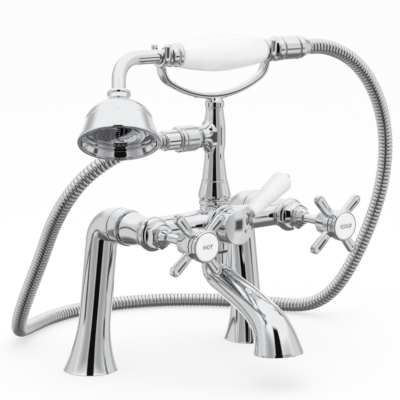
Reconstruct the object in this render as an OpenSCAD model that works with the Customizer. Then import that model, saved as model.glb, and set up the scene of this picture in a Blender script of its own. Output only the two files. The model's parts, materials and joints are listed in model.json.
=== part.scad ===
// Deck mounted bath shower mixer with cross handles, diverter lever and cradle handset.
// The origin is on the deck, midway between the two inlets.
// +X runs from the hot side to the cold side, the user stands at -Y, +Z is up.

/* [Layout] */
// Distance between the two inlets on the deck
inlet_spacing = 180; // [170:1:190]
// Distance between the two valve axes
valve_spacing = 150; // [140:1:160]
// Height of the valve axes above the deck
axis_h = 129; // [120:1:140]
// How far the bridge lies in front of the inlets
body_y = 60; // [56:1:66]
// Height from the tee axis up to the top of the column
tee_drop = 24.5; // [22:0.5:27]
// Height of the handset axis above the deck
handset_h = 275; // [270:1:282]

/* [Legs] */
// Radius of the foot where it meets the deck
foot_r = 24.5; // [22:0.5:28]
// Height of the upright rim of the foot
foot_rim = 3; // [2:0.5:5]
// Height over which the foot flares out
flare_h = 50; // [35:1:60]
// Outer radius of the leg
leg_r = 14; // [13:0.25:16]
// Radius of the waterway in legs and unions
pipe_bore_r = 7; // [5:0.5:8]
// Bend radius of the elbow at the top of the leg
bend_r = 20; // [18:1:24]
// Radius of the threaded socket in the foot
inlet_r = 10.5; // [9.5:0.25:12]
// Depth of the threaded socket in the foot
inlet_depth = 16; // [10:1:24]
// Wall of the brass insert that carries the inlet thread
insert_wall = 2; // [1.5:0.25:3]

/* [Unions] */
// Straight run of the elbow behind the union collar
elbow_run = 3; // [2:0.5:5]
// Radius of the spigot inside the union collar
spigot_r = 11.5; // [10:0.25:12.5]
// Length of the spigot on the leg
spigot_len = 13; // [10:0.5:14]
// Outer radius of the union collar
collar_r = 15.2; // [14.5:0.1:17]
// Length of the union collar
collar_len = 17; // [16:0.5:19]
// Thickness of the union washer
washer_t = 2; // [1.5:0.25:3]
// Dark groove between the union collar and the body
union_gap = 0.8; // [0.4:0.1:1.5]

/* [Body] */
// Barrel radius beside the union
barrel_r = 14.3; // [13.5:0.1:16]
// Barrel radius at the bridge
barrel_waist_r = 12.8; // [12:0.1:14]
// Bridge radius beside the valves
bridge_r = 11; // [10:0.25:12]
// Bridge radius beside the middle
bridge_mid_r = 12.5; // [11.5:0.25:13.5]
// Distance of the barrel's front face from the bridge line
chamber_front = 6; // [5:0.5:8]
// Radius of the pocket for the ceramic discs
pocket_r = 9.5; // [9:0.25:10]
// Depth of the disc pocket behind the front face
pocket_depth = 16; // [14:0.5:18]
// Radius of the waterway in the bridge
bridge_bore_r = 4.5; // [4:0.1:4.8]
// Radius of the upright middle boss
boss_r = 13; // [12.5:0.25:14]
// Height of the column seat above the valve axes
seat_rise = 19.5; // [18:0.5:22]
// Drop of the spout seat below the valve axes
spout_drop = 24; // [22:0.5:28]
// Radius of the diverter barrel
diverter_r = 16; // [15:0.25:17]
// Distance of the diverter barrel's front from the bridge line
diverter_front = 16; // [15:0.5:18]

/* [Valves] */
// Radius across the corners of the large bonnet hexagon
bonnet_r = 15.6; // [14.5:0.1:16.5]
// Length of the large bonnet hexagon
bonnet_len = 16; // [14:0.5:18]
// Radius across the corners of the gland nut
gland_r = 11.6; // [10.5:0.1:12.5]
// Length of the gland nut
gland_len = 6; // [5:0.5:8]
// Radius of the thin flange in front of the gland nut
gland_flange_r = 8.6; // [8:0.1:9.5]
// Length of the bonnet thread in the pocket
bonnet_thread = 8; // [6:0.5:9]
// Radius of the valve spindles
spindle_r = 4; // [3.5:0.1:4.5]
// Thickness of each ceramic disc
disc_t = 3; // [2.5:0.25:3.5]

/* [Handles] */
// Distance of the handle's back from the inlet line
handle_back = 116.5; // [112:0.5:120]
// Radius of the handle hub
hub_r = 13.2; // [12.5:0.1:14]
// Length of the handle hub
hub_len = 22.5; // [20:0.5:25]
// Distance from the handle axis to the end of each arm
arm_reach = 34; // [30:0.5:38]
// Arm width beside the hub
arm_root_w = 8; // [7:0.25:10]
// Arm width at the tip
arm_tip_w = 10; // [8:0.25:12]
// Arm thickness along the handle axis
arm_t = 7; // [6:0.25:9]
// Depth of the hollow along each arm
flute = 1; // [0.5:0.1:1.5]
// Length of the index ring
ring_len = 6; // [5:0.5:8]
// Radius of the white index disc
index_r = 11.6; // [11:0.1:12]
// How far the index disc stands proud of its ring
index_crown = 1; // [0.5:0.1:1.5]
// Angle of the first arm from the X axis
arm_turn = 40; // [0:5:90]

/* [Diverter] */
// Length of the fixed diverter collar
div_collar_len = 6.5; // [5:0.5:8]
// Radius of the turning cap
cap_r = 15.6; // [15:0.1:16.5]
// Length of the turning cap
cap_len = 13.5; // [12:0.5:15]
// Angle of the lever above the X axis
lever_angle = 33; // [20:1:45]
// Radius of the lever's metal neck
neck_r = 3.4; // [3:0.1:4]
// Distance from the diverter axis to the ceramic lever
lever_start = 26; // [24:0.5:30]
// Length of the ceramic lever
lever_len = 41.5; // [36:0.5:46]
// Ceramic lever radius at its inner end
lever_root_r = 6; // [5.2:0.1:6.5]
// Ceramic lever radius at its widest
lever_end_r = 9.4; // [8:0.1:10]
// Radius of the bead at the end of the lever
bead_r = 3; // [2.5:0.1:3.5]

/* [Spout] */
// Outer radius of the spout where it leaves the body
spout_root_r = 11.5; // [11:0.25:12.5]
// Outer radius of the spout mouth
spout_mouth_r = 21.5; // [19:0.25:23]
// Wall of the spout
spout_wall = 2.5; // [2:0.25:3]
// Reach of the spout mouth in front of the bridge line
spout_reach = 87; // [80:1:95]
// Height of the spout mouth above the deck
mouth_h = 32; // [26:1:38]
// Thickness of the flow straightener
straightener_t = 4; // [3:0.5:6]

/* [Column] */
// Widest radius of the bell nut at the foot of the column
bell_r = 14.3; // [13.5:0.1:15]
// Height of the bell nut
bell_h = 17.5; // [15:0.5:19]
// Column radius above the bell nut
column_foot_r = 11; // [10.5:0.1:11.5]
// Column radius below the tee
column_waist_r = 8.6; // [8.2:0.1:9]
// Column radius at the tee
column_tee_r = 9.6; // [9.2:0.1:10.2]
// Column radius under the cradle
column_top_r = 7.6; // [7.2:0.1:8.2]
// Column radius inside the bell nut
column_spigot_r = 9.4; // [9:0.1:10]
// Radius of the waterway in the column
column_bore_r = 5; // [4:0.25:5.5]
// Radius of the tee's side outlet
outlet_r = 7.4; // [7:0.1:8]
// Length of the side outlet from the column axis
outlet_len = 17.5; // [16:0.5:20]
// Length of the threaded stub inside the hose nut
stub_len = 11; // [8:0.5:12]
// Radius of the threaded stub
stub_r = 6.2; // [5.8:0.1:6.6]

/* [Hose] */
// Outer diameter of the hose over its ribs
hose_d = 14; // [12:0.5:16]
// Depth of the groove between two ribs
rib_depth = 1.2; // [0.6:0.1:1.8]
// Radius of the hose bore
hose_bore_r = 4; // [3:0.25:4.5]
// Number of ribs along the hose
rib_count = 200; // [80:10:200]
// Radius of the hose nut on the tee
hose_nut_r = 11.2; // [10.5:0.1:12]
// Length of the hose nut on the tee
hose_nut_len = 24; // [22:0.5:26]
// Radius of the plain sleeve between nut and hose
sleeve_r = 7.2; // [6.8:0.1:8]

/* [Cradle] */
// Distance from the column axis to each fork
fork_x = 57; // [54:0.5:60]
// Radius of the collar under the cradle arms
cradle_stem_r = 8.4; // [8:0.1:9]
// Height of the collar under the cradle arms
cradle_stem_h = 8; // [6:0.5:10]
// Thickness of the cradle arms
arm_bar_t = 4.4; // [3.5:0.1:5.5]
// Width of the cradle arms
arm_bar_w = 8; // [6:0.25:10]
// Radius of the wide middle bend of the arms
cradle_mid_r = 96; // [80:1:120]
// Angle of the wide middle bend on each side
cradle_mid_a = 30; // [26:1:34]
// Thickness of a fork along the handset
fork_t = 6; // [5:0.25:7]
// Wall of the fork prongs
prong_w = 3.6; // [3:0.1:4.5]
// Height of the prong tips above the handset axis
prong_rise = 10; // [7:0.5:12]
// Height from the ends of the cradle arms up to the handset axis
arm_drop = 8.7; // [8.2:0.1:9.5]
// Distance from the ends of the cradle arms to the middle of the forks
arm_inset = 0.5; // [0:0.1:1]
// Room between the handset and the forks
fork_gap = 0.3; // [0.2:0.05:0.5]

/* [Handset] */
// Radius of the bent neck tube
tube_r = 6; // [5.5:0.1:6.5]
// Bore of the neck tube
tube_bore_r = 4; // [3:0.25:4.5]
// Distance of the neck's corner from the column axis
corner_x = 100; // [94:1:106]
// Bend radius of the neck
neck_bend_r = 26; // [24:1:30]
// Angle by which the rose leans outward
rose_lean = 18; // [10:1:26]
// Roll of the handset in its cradle, towards the user
handset_roll = 27; // [0:1:35]
// Distance from the neck's corner to the rose collar
rose_start = 29.5; // [28:0.5:34]
// Depth of the rose from its collar to its rim
rose_depth = 46.5; // [40:0.5:52]
// Radius of the rose collar
rose_collar_r = 9.7; // [9:0.1:10.5]
// Widest radius of the rose dome
dome_r = 27.8; // [25:0.1:29]
// Radius of the rose rim
rim_r = 33.7; // [31:0.1:36]
// Wall of the rose
rose_wall = 1.6; // [1.2:0.1:2.2]
// Depth of the spray plate behind the rim
plate_recess = 8; // [6:0.5:10]
// Thickness of the spray plate
plate_t = 1.6; // [1.2:0.1:2.5]
// Radius of one spray hole
spray_r = 0.7; // [0.5:0.05:1]
// Rings of spray holes
spray_rings = 4; // [2:1:5]
// Left end of the ceramic grip
grip_x0 = -39; // [-42:0.5:-36]
// Right end of the ceramic grip
grip_x1 = 52; // [50:0.5:53]
// Grip radius in the middle
grip_r = 16.1; // [14:0.1:18]
// Grip radius at its ends
grip_end_r = 10.3; // [9.5:0.1:11.5]
// Radius of the tube inside the grip
core_r = 6.9; // [6.5:0.1:7.5]
// Radius of the rear neck that lies in the fork
rear_neck_r = 7.6; // [7.2:0.1:8.2]
// Right end of the rear ferrule
rear_end_x = 72; // [70:0.5:74]
// Radius of the hose nut on the handset
set_nut_r = 10.5; // [10:0.1:11.5]
// Length of the hose nut on the handset
set_nut_len = 17; // [15:0.5:18]

/* [Hidden] */
$fn = 96;
eps = 0.01;
// Clearance of a part that turns in a bore
run_fit = 0.06;
// Clearance of parts that are screwed or pushed together
push_fit = 0.05;
// Gap between faces that turn past each other
turn_gap = 0.3;

// Union stations, as distances in front of the inlet line
elbow_end = bend_r + elbow_run;
tail_y = elbow_end + spigot_len + washer_t;
barrel_y = elbow_end + collar_len + union_gap;
front_y = body_y + chamber_front;
pocket_y = front_y - pocket_depth;
bonnet_y = front_y + bonnet_len;
gland_y = bonnet_y + gland_len;
gland_end = gland_y + 3;
nose_end = gland_end + 4;
hub_end = handle_back + hub_len;
ring_end = hub_end + ring_len;
arm_y = handle_back + hub_len - 6.5;
spindle_back = pocket_y + 2 * disc_t + turn_gap;
spindle_front = handle_back + 12;

// Leg layout
leg_lean = atan((inlet_spacing - valve_spacing) / 2 / axis_h);
leg_len = round(100 * axis_h / cos(leg_lean)) / 100;

// Middle stations
seat_z = axis_h + seat_rise;
spout_z = axis_h - spout_drop;
div_y = body_y + diverter_front;
div_collar_end = div_y + div_collar_len;
cap_y = div_collar_end + turn_gap;
cap_end = cap_y + cap_len;
lever_y = cap_y + 5.5;
bell_z = seat_z + bell_h;
mouth_y = body_y + spout_reach;

// Hose outlet stations, as distances from the column axis
nut_x0 = outlet_len + push_fit;
nut_x1 = nut_x0 + hose_nut_len;
sleeve_x1 = 56;
hose_r = hose_d / 2;

// Handset stations
neck_turn = 90 - rose_lean;
neck_tan = neck_bend_r * tan(neck_turn / 2);
rose_end = rose_start + rose_depth;
nut2_x1 = rear_end_x + turn_gap + set_nut_len;
cone_x0 = nut2_x1 + 0.8;
cone_x1 = 104;

// Cradle stations. The arms end under the forks, and the column reaches up to the arms.
cradle_end_x = fork_x - arm_inset;
cradle_end_r = (cradle_end_x - cradle_mid_r * sin(cradle_mid_a)) / (1 - sin(cradle_mid_a));
cradle_end_z = handset_h - arm_drop;
cradle_bar_z = cradle_end_z - cradle_mid_r + (cradle_mid_r - cradle_end_r) * cos(cradle_mid_a);
column_top = cradle_bar_z - arm_bar_t / 2 - cradle_stem_h;
tee_h = column_top - tee_drop;
// Length of the column between the bell nut and the tee, and between the tee and the cradle
neck_span = tee_h - bell_z;
top_span = tee_drop;

chrome = "silver";
brass = "darkgoldenrod";
ceramic = "white";
rubber = "dimgray";

// A turned shape: points are radius and distance along the axis.
module turned(points) rotate_extrude() polygon(points);

// Axes along which turned shapes are placed. Local +Z runs to the front here.
module on_valve(side) translate([side * valve_spacing / 2, 0, axis_h]) rotate([90, 0, 0]) children();
module on_diverter() translate([0, 0, axis_h]) rotate([90, 0, 0]) children();
// Local +Z runs from the hot side to the cold side.
module on_handset() translate([0, -body_y, handset_h]) rotate([0, 90, 0]) children();
// Local +Z runs from the column out to the hose.
module on_outlet() translate([0, -body_y, tee_h]) rotate([0, -90, 0]) children();
module on_column() translate([0, -body_y, 0]) children();
// Local +Z runs along the lever, from the diverter axis outward.
module on_lever() translate([0, -lever_y, axis_h]) rotate([0, 90 - lever_angle, 0]) children();
// Local +Z runs from the neck's corner down through the rose.
module on_rose() translate([-corner_x, -body_y, handset_h])
    rotate([-handset_roll, 0, 0]) rotate([0, 180 + rose_lean, 0]) children();

// A round bar from z0 to z1.
module bar(r, z0, z1) translate([0, 0, z0]) cylinder(r = r, h = z1 - z0);

// A hexagon with its corners turned off at both ends.
module hexagon(r, z0, z1) intersection() {
    translate([0, 0, z0]) cylinder(r = r, h = z1 - z0, $fn = 6);
    turned([[0, z0], [r - 1.8, z0], [r, z0 + 1.6], [r, z1 - 1.6], [r - 1.8, z1], [0, z1]]);
}

// A ring with an outer and an inner radius.
module ring(r, bore, z0, z1) difference() {
    bar(r, z0, z1);
    bar(bore, z0 - 1, z1 + 1);
}

// A bent round bar that turns by an angle about the point [bend, 0].
module bend(r, bend, angle) rotate_extrude(angle = angle) translate([bend, 0]) circle(r);

// Smooth curves through control points.
function unit(v) = v / norm(v);
function padded(p) = concat([2 * p[0] - p[1]], p, [2 * p[len(p) - 1] - p[len(p) - 2]]);
function blend4(a, b, c, d, t) = ((1 - t) ^ 3 * a + (3 * t ^ 3 - 6 * t ^ 2 + 4) * b
    + (-3 * t ^ 3 + 3 * t ^ 2 + 3 * t + 1) * c + t ^ 3 * d) / 6;
// Point at curve parameter u, which counts control points from the first one.
function curve(q, u) = let (n = len(q) - 3, i = min(floor(u), n - 1), t = u - i)
    blend4(q[i], q[i + 1], q[i + 2], q[i + 3], t);
function even_steps(q, fine) = [for (k = [0:(len(q) - 3) * fine]) curve(q, k / fine)];
function run_lengths(p) = [for (i = 0, s = 0; i < len(p); i = i + 1,
    s = s + (i < len(p) ? norm(p[i] - p[i - 1]) : 0)) s];
// Curve parameters at count + 1 equal steps of length.
function equal_steps(q, count, fine = 12) = let (p = even_steps(q, fine), s = run_lengths(p),
    table = [for (i = [0:len(p) - 1]) [s[i], i / fine]])
    [for (k = [0:count]) lookup(s[len(s) - 1] * k / count, table)];
function points_at(q, us) = [for (u = us) curve(q, u)];
function tangents(p) = [for (i = [0:len(p) - 1])
    unit(p[min(i + 1, len(p) - 1)] - p[max(i - 1, 0)])];
function square_to(n, t) = unit(n - (n * t) * t);
// Cross directions that turn as little as possible along the curve.
function carried(t, first) = [for (i = 0, n = square_to(first, t[0]); i < len(t); i = i + 1,
    n = i < len(t) ? square_to(n, t[i]) : n) n];
function round_ring(p, t, n, r, sides) = let (b = cross(t, n))
    [for (k = [0:sides - 1]) p + r * (cos(360 * k / sides) * n + sin(360 * k / sides) * b)];
function rings(p, r, sides, first) = let (t = tangents(p), n = carried(t, first))
    [for (i = [0:len(p) - 1]) each round_ring(p[i], t[i], n[i], r[i], sides)];
function quads(count, sides, base, flip) = [for (i = [0:count - 2], k = [0:sides - 1])
    let (a = base + i * sides + k, b = base + i * sides + (k + 1) % sides, c = a + sides, d = b + sides)
    each flip ? [[a, c, b], [b, c, d]] : [[a, b, c], [b, d, c]]];
function end_ring(outer, inner, sides, flip) = [for (k = [0:sides - 1])
    let (a = outer + k, b = outer + (k + 1) % sides, c = inner + k, d = inner + (k + 1) % sides)
    each flip ? [[a, b, c], [b, d, c]] : [[a, c, b], [b, c, d]]];
// A hollow tube: outer and inner skins have their own rings but as many sides.
module hollow_tube(po, ro, pi, ri, sides, first) {
    no = len(po);
    ni = len(pi);
    polyhedron(points = concat(rings(po, ro, sides, first), rings(pi, ri, sides, first)),
        faces = concat(quads(no, sides, 0, true), quads(ni, sides, no * sides, false),
            end_ring(0, no * sides, sides, true),
            end_ring((no - 1) * sides, (no + ni - 1) * sides, sides, false)));
}

// Legs and unions.
function flare_points() = [for (k = [0:10]) let (u = k / 10)
    [leg_r + (foot_r - 1 - leg_r) * (1 - u) ^ 2.2, u * flare_h]];
module leg(side) color(chrome) intersection() {
    translate([side * inlet_spacing / 2, 0, 0]) difference() {
        union() {
            bar(foot_r, 0, foot_rim - 1);
            translate([0, 0, foot_rim - 1]) cylinder(r1 = foot_r, r2 = foot_r - 1, h = 1);
            rotate([0, -side * leg_lean, 0]) {
                turned(concat([[0, -8], [foot_r - 1, -8]], flare_points(), [[0, flare_h]]));
                bar(leg_r, flare_h - 1, leg_len - bend_r);
                translate([0, -bend_r, leg_len - bend_r]) rotate([90, 0, 90]) bend(leg_r, bend_r, 90);
                translate([0, 0, leg_len]) rotate([90, 0, 0]) {
                    bar(leg_r, bend_r, elbow_end);
                    bar(spigot_r, bend_r, elbow_end + spigot_len);
                }
            }
        }
        bar(inlet_r + insert_wall, -1, inlet_depth);
        rotate([0, -side * leg_lean, 0]) {
            bar(pipe_bore_r, 0, leg_len - bend_r);
            translate([0, -bend_r, leg_len - bend_r]) rotate([90, 0, 90]) bend(pipe_bore_r, bend_r, 90);
            translate([0, 0, leg_len]) rotate([90, 0, 0])
                bar(pipe_bore_r, bend_r, elbow_end + spigot_len + 1);
        }
    }
    translate([-300, -300, 0]) cube([600, 600, 400]);
}
module inlet_insert(side) color(brass) translate([side * inlet_spacing / 2, 0, 0])
    ring(inlet_r + insert_wall - push_fit, inlet_r, 0, inlet_depth - push_fit);
module union_collar(side) color(chrome) on_valve(side) difference() {
    turned([[0, elbow_end + turn_gap], [collar_r - 1, elbow_end + turn_gap],
        [collar_r, elbow_end + turn_gap + 1], [collar_r, elbow_end + collar_len - 1.4],
        [collar_r - 1.2, elbow_end + collar_len], [0, elbow_end + collar_len]]);
    bar(spigot_r + push_fit, 0, barrel_y);
}
module union_washer(side) color(rubber) on_valve(side)
    ring(spigot_r, pipe_bore_r, elbow_end + spigot_len, tail_y);
module leg_hot() leg(-1);
module leg_cold() leg(1);
module inlet_insert_hot() inlet_insert(-1);
module inlet_insert_cold() inlet_insert(1);
module union_collar_hot() union_collar(-1);
module union_collar_cold() union_collar(1);
module union_washer_hot() union_washer(-1);
module union_washer_cold() union_washer(1);

// Body.
// Half of the bridge, from a valve axis to the middle.
module bridge_half(side) translate([0, -body_y, axis_h]) rotate([0, side * 90, 0]) {
    turned([[0, 0], [bridge_mid_r, 0], [bridge_mid_r, boss_r], [bridge_mid_r - 1, boss_r + 8],
        [bridge_r, valve_spacing / 2 - barrel_waist_r], [bridge_r, valve_spacing / 2],
        [0, valve_spacing / 2]]);
}
module barrel(side) on_valve(side) turned([[0, tail_y], [spigot_r, tail_y], [spigot_r, barrel_y],
    [barrel_r - 0.6, barrel_y], [barrel_r, barrel_y + 0.8], [barrel_r - 0.4, barrel_y + 6],
    [barrel_waist_r, body_y - 3], [barrel_waist_r, front_y - 2], [barrel_waist_r + 0.5, front_y - 1.4],
    [barrel_waist_r + 0.5, front_y - 0.4], [barrel_waist_r, front_y], [0, front_y]]);
module bridge_body() color(chrome) difference() {
    union() {
        for (side = [-1, 1]) {
            bridge_half(side);
            barrel(side);
        }
        on_column() turned([[0, spout_z], [boss_r - 0.8, spout_z], [boss_r, spout_z + 0.8],
            [boss_r, seat_z - 4], [boss_r + 0.8, seat_z - 3], [boss_r + 0.8, seat_z - 0.6],
            [boss_r, seat_z], [0, seat_z]]);
        on_diverter() turned([[0, body_y], [diverter_r, body_y], [diverter_r, div_y - 4],
            [diverter_r + 0.7, div_y - 3.4], [diverter_r + 0.7, div_y - 1.2], [diverter_r, div_y - 0.6],
            [diverter_r - 0.6, div_y], [0, div_y]]);
    }
    for (side = [-1, 1]) on_valve(side) {
        bar(pipe_bore_r, tail_y - 1, front_y - 1);
        bar(pocket_r, pocket_y, front_y + 1);
        bar(bonnet_r + turn_gap, front_y, front_y + bridge_r);
    }
    on_column() bar(column_bore_r, spout_z - 1, seat_z + 1);
    on_diverter() bar(pocket_r, body_y - pocket_r, div_y + 1);
    translate([-valve_spacing / 2, -body_y, axis_h]) rotate([0, 90, 0])
        bar(bridge_bore_r, 0, valve_spacing);
}

// Valves.
module bonnet(side) color(chrome) on_valve(side) difference() {
    union() {
        bar(pocket_r - push_fit, front_y - bonnet_thread, front_y);
        hexagon(bonnet_r, front_y, bonnet_y);
        turned([[0, bonnet_y], [gland_flange_r + 1.6, bonnet_y], [gland_flange_r + 1.6, bonnet_y + 0.8],
            [0, bonnet_y + 0.8]]);
        hexagon(gland_r, bonnet_y + 0.8, gland_y);
        turned([[0, gland_y], [gland_flange_r - 0.6, gland_y], [gland_flange_r, gland_y + 0.6],
            [gland_flange_r, gland_end - 0.8], [gland_flange_r - 1, gland_end],
            [spindle_r + 1.6, nose_end], [0, nose_end]]);
    }
    bar(spindle_r + run_fit, front_y - bonnet_thread - 1, nose_end + 1);
}
// A ceramic disc with two ports on opposite sides.
module ported_disc(r, z0, z1, turn) difference() {
    bar(r, z0, z1);
    for (a = [turn, turn + 180]) rotate([0, 0, a]) translate([r / 2, 0, z0 - 1])
        cylinder(r = r / 4, h = z1 - z0 + 2);
}
module seat_disc(side) color(ceramic) on_valve(side)
    ported_disc(pocket_r - push_fit, pocket_y, pocket_y + disc_t, 0);
module turn_disc(side) color(ceramic) on_valve(side)
    ported_disc(pocket_r - turn_gap, pocket_y + disc_t + turn_gap, spindle_back, 90);
module spindle(side) color(brass) on_valve(side) difference() {
    bar(spindle_r, spindle_back, spindle_front);
    bar(2, spindle_front - 9, spindle_front + 1);
}
module bonnet_hot() bonnet(-1);
module bonnet_cold() bonnet(1);
module seat_disc_hot() seat_disc(-1);
module seat_disc_cold() seat_disc(1);
module turn_disc_hot() turn_disc(-1);
module turn_disc_cold() turn_disc(1);
module spindle_hot() spindle(-1);
module spindle_cold() spindle(1);

// Cross handles.
screw_seat = spindle_front + 2;
// One arm along local +X, with a shallow hollow along its front face.
module arm() difference() {
    translate([0, 0, arm_y - arm_t / 2]) linear_extrude(arm_t) {
        polygon([[hub_r / 2, -arm_root_w / 2], [arm_reach - arm_tip_w / 2, -arm_tip_w / 2],
            [arm_reach - arm_tip_w / 2, arm_tip_w / 2], [hub_r / 2, arm_root_w / 2]]);
        translate([arm_reach - arm_tip_w / 2, 0]) circle(arm_tip_w / 2);
    }
    translate([hub_r, 0, arm_y + arm_t / 2 + arm_tip_w - flute]) rotate([0, 90, 0])
        cylinder(r = arm_tip_w, h = arm_reach - hub_r - arm_tip_w / 4);
}
module crosshead(side) color(chrome) on_valve(side) difference() {
    union() {
        turned([[0, handle_back], [hub_r - 2.4, handle_back], [hub_r, handle_back + 2],
            [hub_r, hub_end - 3], [hub_r - 0.7, hub_end - 2.4], [hub_r - 0.7, hub_end - 1.4],
            [hub_r, hub_end - 0.8], [hub_r, hub_end], [0, hub_end]]);
        for (k = [0:3]) rotate([0, 0, arm_turn + 90 * k]) arm();
    }
    bar(spindle_r, handle_back - 1, spindle_front);
    bar(2, spindle_front - 1, hub_end);
    bar(5, screw_seat, hub_end + 1);
}
module index_ring(side) color(chrome) on_valve(side) difference() {
    turned([[0, hub_end], [hub_r, hub_end], [hub_r, hub_end + 1.4], [hub_r - 0.6, hub_end + 1.9],
        [hub_r - 0.6, hub_end + 2.5], [hub_r, hub_end + 3], [hub_r, ring_end - 1], [hub_r - 0.9, ring_end],
        [0, ring_end]]);
    bar(index_r + push_fit, hub_end + 1, ring_end + 1);
    bar(5.2, hub_end - 1, ring_end);
}
module index_disc(side) color(ceramic) on_valve(side)
    turned([[0, hub_end + 1], [index_r, hub_end + 1], [index_r, ring_end - 0.4],
        [index_r - 0.7, ring_end + index_crown * 0.35], [index_r * 0.7, ring_end + index_crown * 0.75],
        [index_r * 0.35, ring_end + index_crown * 0.95], [0, ring_end + index_crown]]);
module handle_screw(side) color(brass) on_valve(side) {
    bar(1.95, spindle_front - 8, screw_seat);
    difference() {
        bar(4.6, screw_seat, screw_seat + 3);
        translate([-5, -0.5, screw_seat + 2]) cube([10, 1, 2]);
    }
}
module crosshead_hot() crosshead(-1);
module crosshead_cold() crosshead(1);
module index_ring_hot() index_ring(-1);
module index_ring_cold() index_ring(1);
module index_disc_hot() index_disc(-1);
module index_disc_cold() index_disc(1);
module handle_screw_hot() handle_screw(-1);
module handle_screw_cold() handle_screw(1);

// Diverter.
rotor_end = body_y + pocket_r - turn_gap;
div_thread_y = rotor_end + turn_gap;
module diverter_collar() color(chrome) on_diverter() difference() {
    union() {
        bar(pocket_r - push_fit, div_thread_y, div_y);
        turned([[0, div_y], [diverter_r - 1.6, div_y], [diverter_r - 1.6, div_y + 1.2],
            [diverter_r, div_y + 2], [diverter_r, div_collar_end - 1], [diverter_r - 0.8, div_collar_end],
            [0, div_collar_end]]);
    }
    bar(spindle_r + run_fit, div_thread_y - 1, div_collar_end + 1);
}
module diverter_cap() color(chrome) difference() {
    on_diverter() turned([[0, cap_y], [cap_r - 0.6, cap_y], [cap_r, cap_y + 0.6], [cap_r, cap_end - 2],
        [cap_r - 0.6, cap_end - 0.6], [cap_r - 1.6, cap_end], [0, cap_end]]);
    on_diverter() bar(spindle_r, cap_y - 1, cap_end - 5);
    on_lever() bar(neck_r, spindle_r + 3, cap_r + 2);
}
module diverter_spindle() color(brass) on_diverter()
    bar(spindle_r, rotor_end, cap_end - 5);
// The rotor sits in the middle pocket and opens one way at a time.
module diverter_rotor() color(ceramic) on_diverter() difference() {
    bar(pocket_r - turn_gap, body_y - pocket_r + turn_gap, rotor_end);
    translate([0, 0, body_y]) rotate([90, 0, 0]) cylinder(r = column_bore_r, h = 2 * pocket_r);
    translate([0, 0, body_y]) rotate([0, 90, 0]) translate([0, 0, -pocket_r])
        cylinder(r = bridge_bore_r, h = 2 * pocket_r);
}
module lever_neck() color(chrome) on_lever() {
    bar(neck_r, spindle_r + 3, lever_start + 8);
    turned([[0, lever_start - 7], [neck_r, lever_start - 7], [lever_root_r + 0.4, lever_start - 5],
        [lever_root_r + 0.4, lever_start - 3.4], [neck_r + 0.6, lever_start - 2.6],
        [lever_root_r, lever_start - 1], [lever_root_r, lever_start], [0, lever_start]]);
}
lever_tip = lever_start + lever_len;
module lever_grip() color(ceramic) on_lever() difference() {
    turned(concat([[0, lever_start], [lever_root_r, lever_start]],
        [for (k = [1:8]) let (u = k / 8)
            [lever_root_r + (lever_end_r - lever_root_r) * u ^ 0.8,
                lever_start + u * (lever_len - lever_end_r * 0.7)]],
        [for (a = [15:15:75]) [bead_r + (lever_end_r - bead_r) * cos(a),
            lever_tip - lever_end_r * 0.7 * (1 - sin(a))]],
        [[bead_r, lever_tip], [0, lever_tip]]));
    bar(neck_r + push_fit, lever_start - 1, lever_start + 8 + push_fit);
    bar(bead_r - 1.2, lever_tip - 5, lever_tip + 1);
}
module lever_bead() color(chrome) on_lever() {
    bar(bead_r - 1.2 - push_fit, lever_tip - 5 + push_fit, lever_tip + 1);
    turned([[0, lever_tip], [bead_r, lever_tip], [bead_r, lever_tip + 1], [bead_r * 0.87, lever_tip + 2.2],
        [bead_r * 0.5, lever_tip + 3.2], [0, lever_tip + 3.6]]);
}

// Spout.
spout_sides = 40;
spout_rings = 30;
washer_seat = 2;
// Centre line of the spout, seen from the side: down, forward and down again.
spout_top = spout_z - washer_seat;
// Each station is a share of the reach and a share of the drop.
spout_stations = [[0, 0], [0, 0.085], [0, 0.17], [0.03, 0.247], [0.087, 0.304], [0.171, 0.33],
    [0.324, 0.405], [0.54, 0.488], [0.766, 0.624], [0.939, 0.783], [1, 1]];
spout_path = padded([for (q = spout_stations)
    [0, -body_y - q[0] * spout_reach, spout_top - q[1] * (spout_top - mouth_h)]]);
// The mouth looks down and a little to the front.
spout_last = spout_stations[10] - spout_stations[9];
mouth_lean = atan2(spout_last[0] * spout_reach, spout_last[1] * (spout_top - mouth_h));
function spout_r(u) = spout_root_r + 0.6 * sin(180 * min(u * 1.2, 1) * 0.5)
    + (spout_mouth_r - spout_root_r - 0.6) * max(0, (u - 0.23) / 0.77) ^ 3.2;
module spout() color(chrome) {
    us = equal_steps(spout_path, spout_rings);
    p = points_at(spout_path, us);
    r = [for (k = [0:spout_rings]) spout_r(k / spout_rings)];
    hollow_tube(p, r, p, [for (x = r) x - spout_wall], spout_sides, [1, 0, 0]);
}
module spout_washer() color(rubber) on_column() ring(spout_root_r, column_bore_r, spout_top, spout_z);
// A disc with a ring of holes that calms the water at the mouth.
module flow_straightener() color(chrome) translate([0, -mouth_y, mouth_h]) rotate([-mouth_lean, 0, 0])
    translate([0, 0, 2]) difference() {
    cylinder(r = spout_mouth_r - spout_wall - 2.3, h = straightener_t);
    translate([0, 0, -1]) cylinder(r = 4, h = straightener_t + 2);
    for (k = [0:11]) rotate([0, 0, 30 * k]) translate([10.5, 0, -1])
        cylinder(r = 2, h = straightener_t + 2);
}

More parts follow.
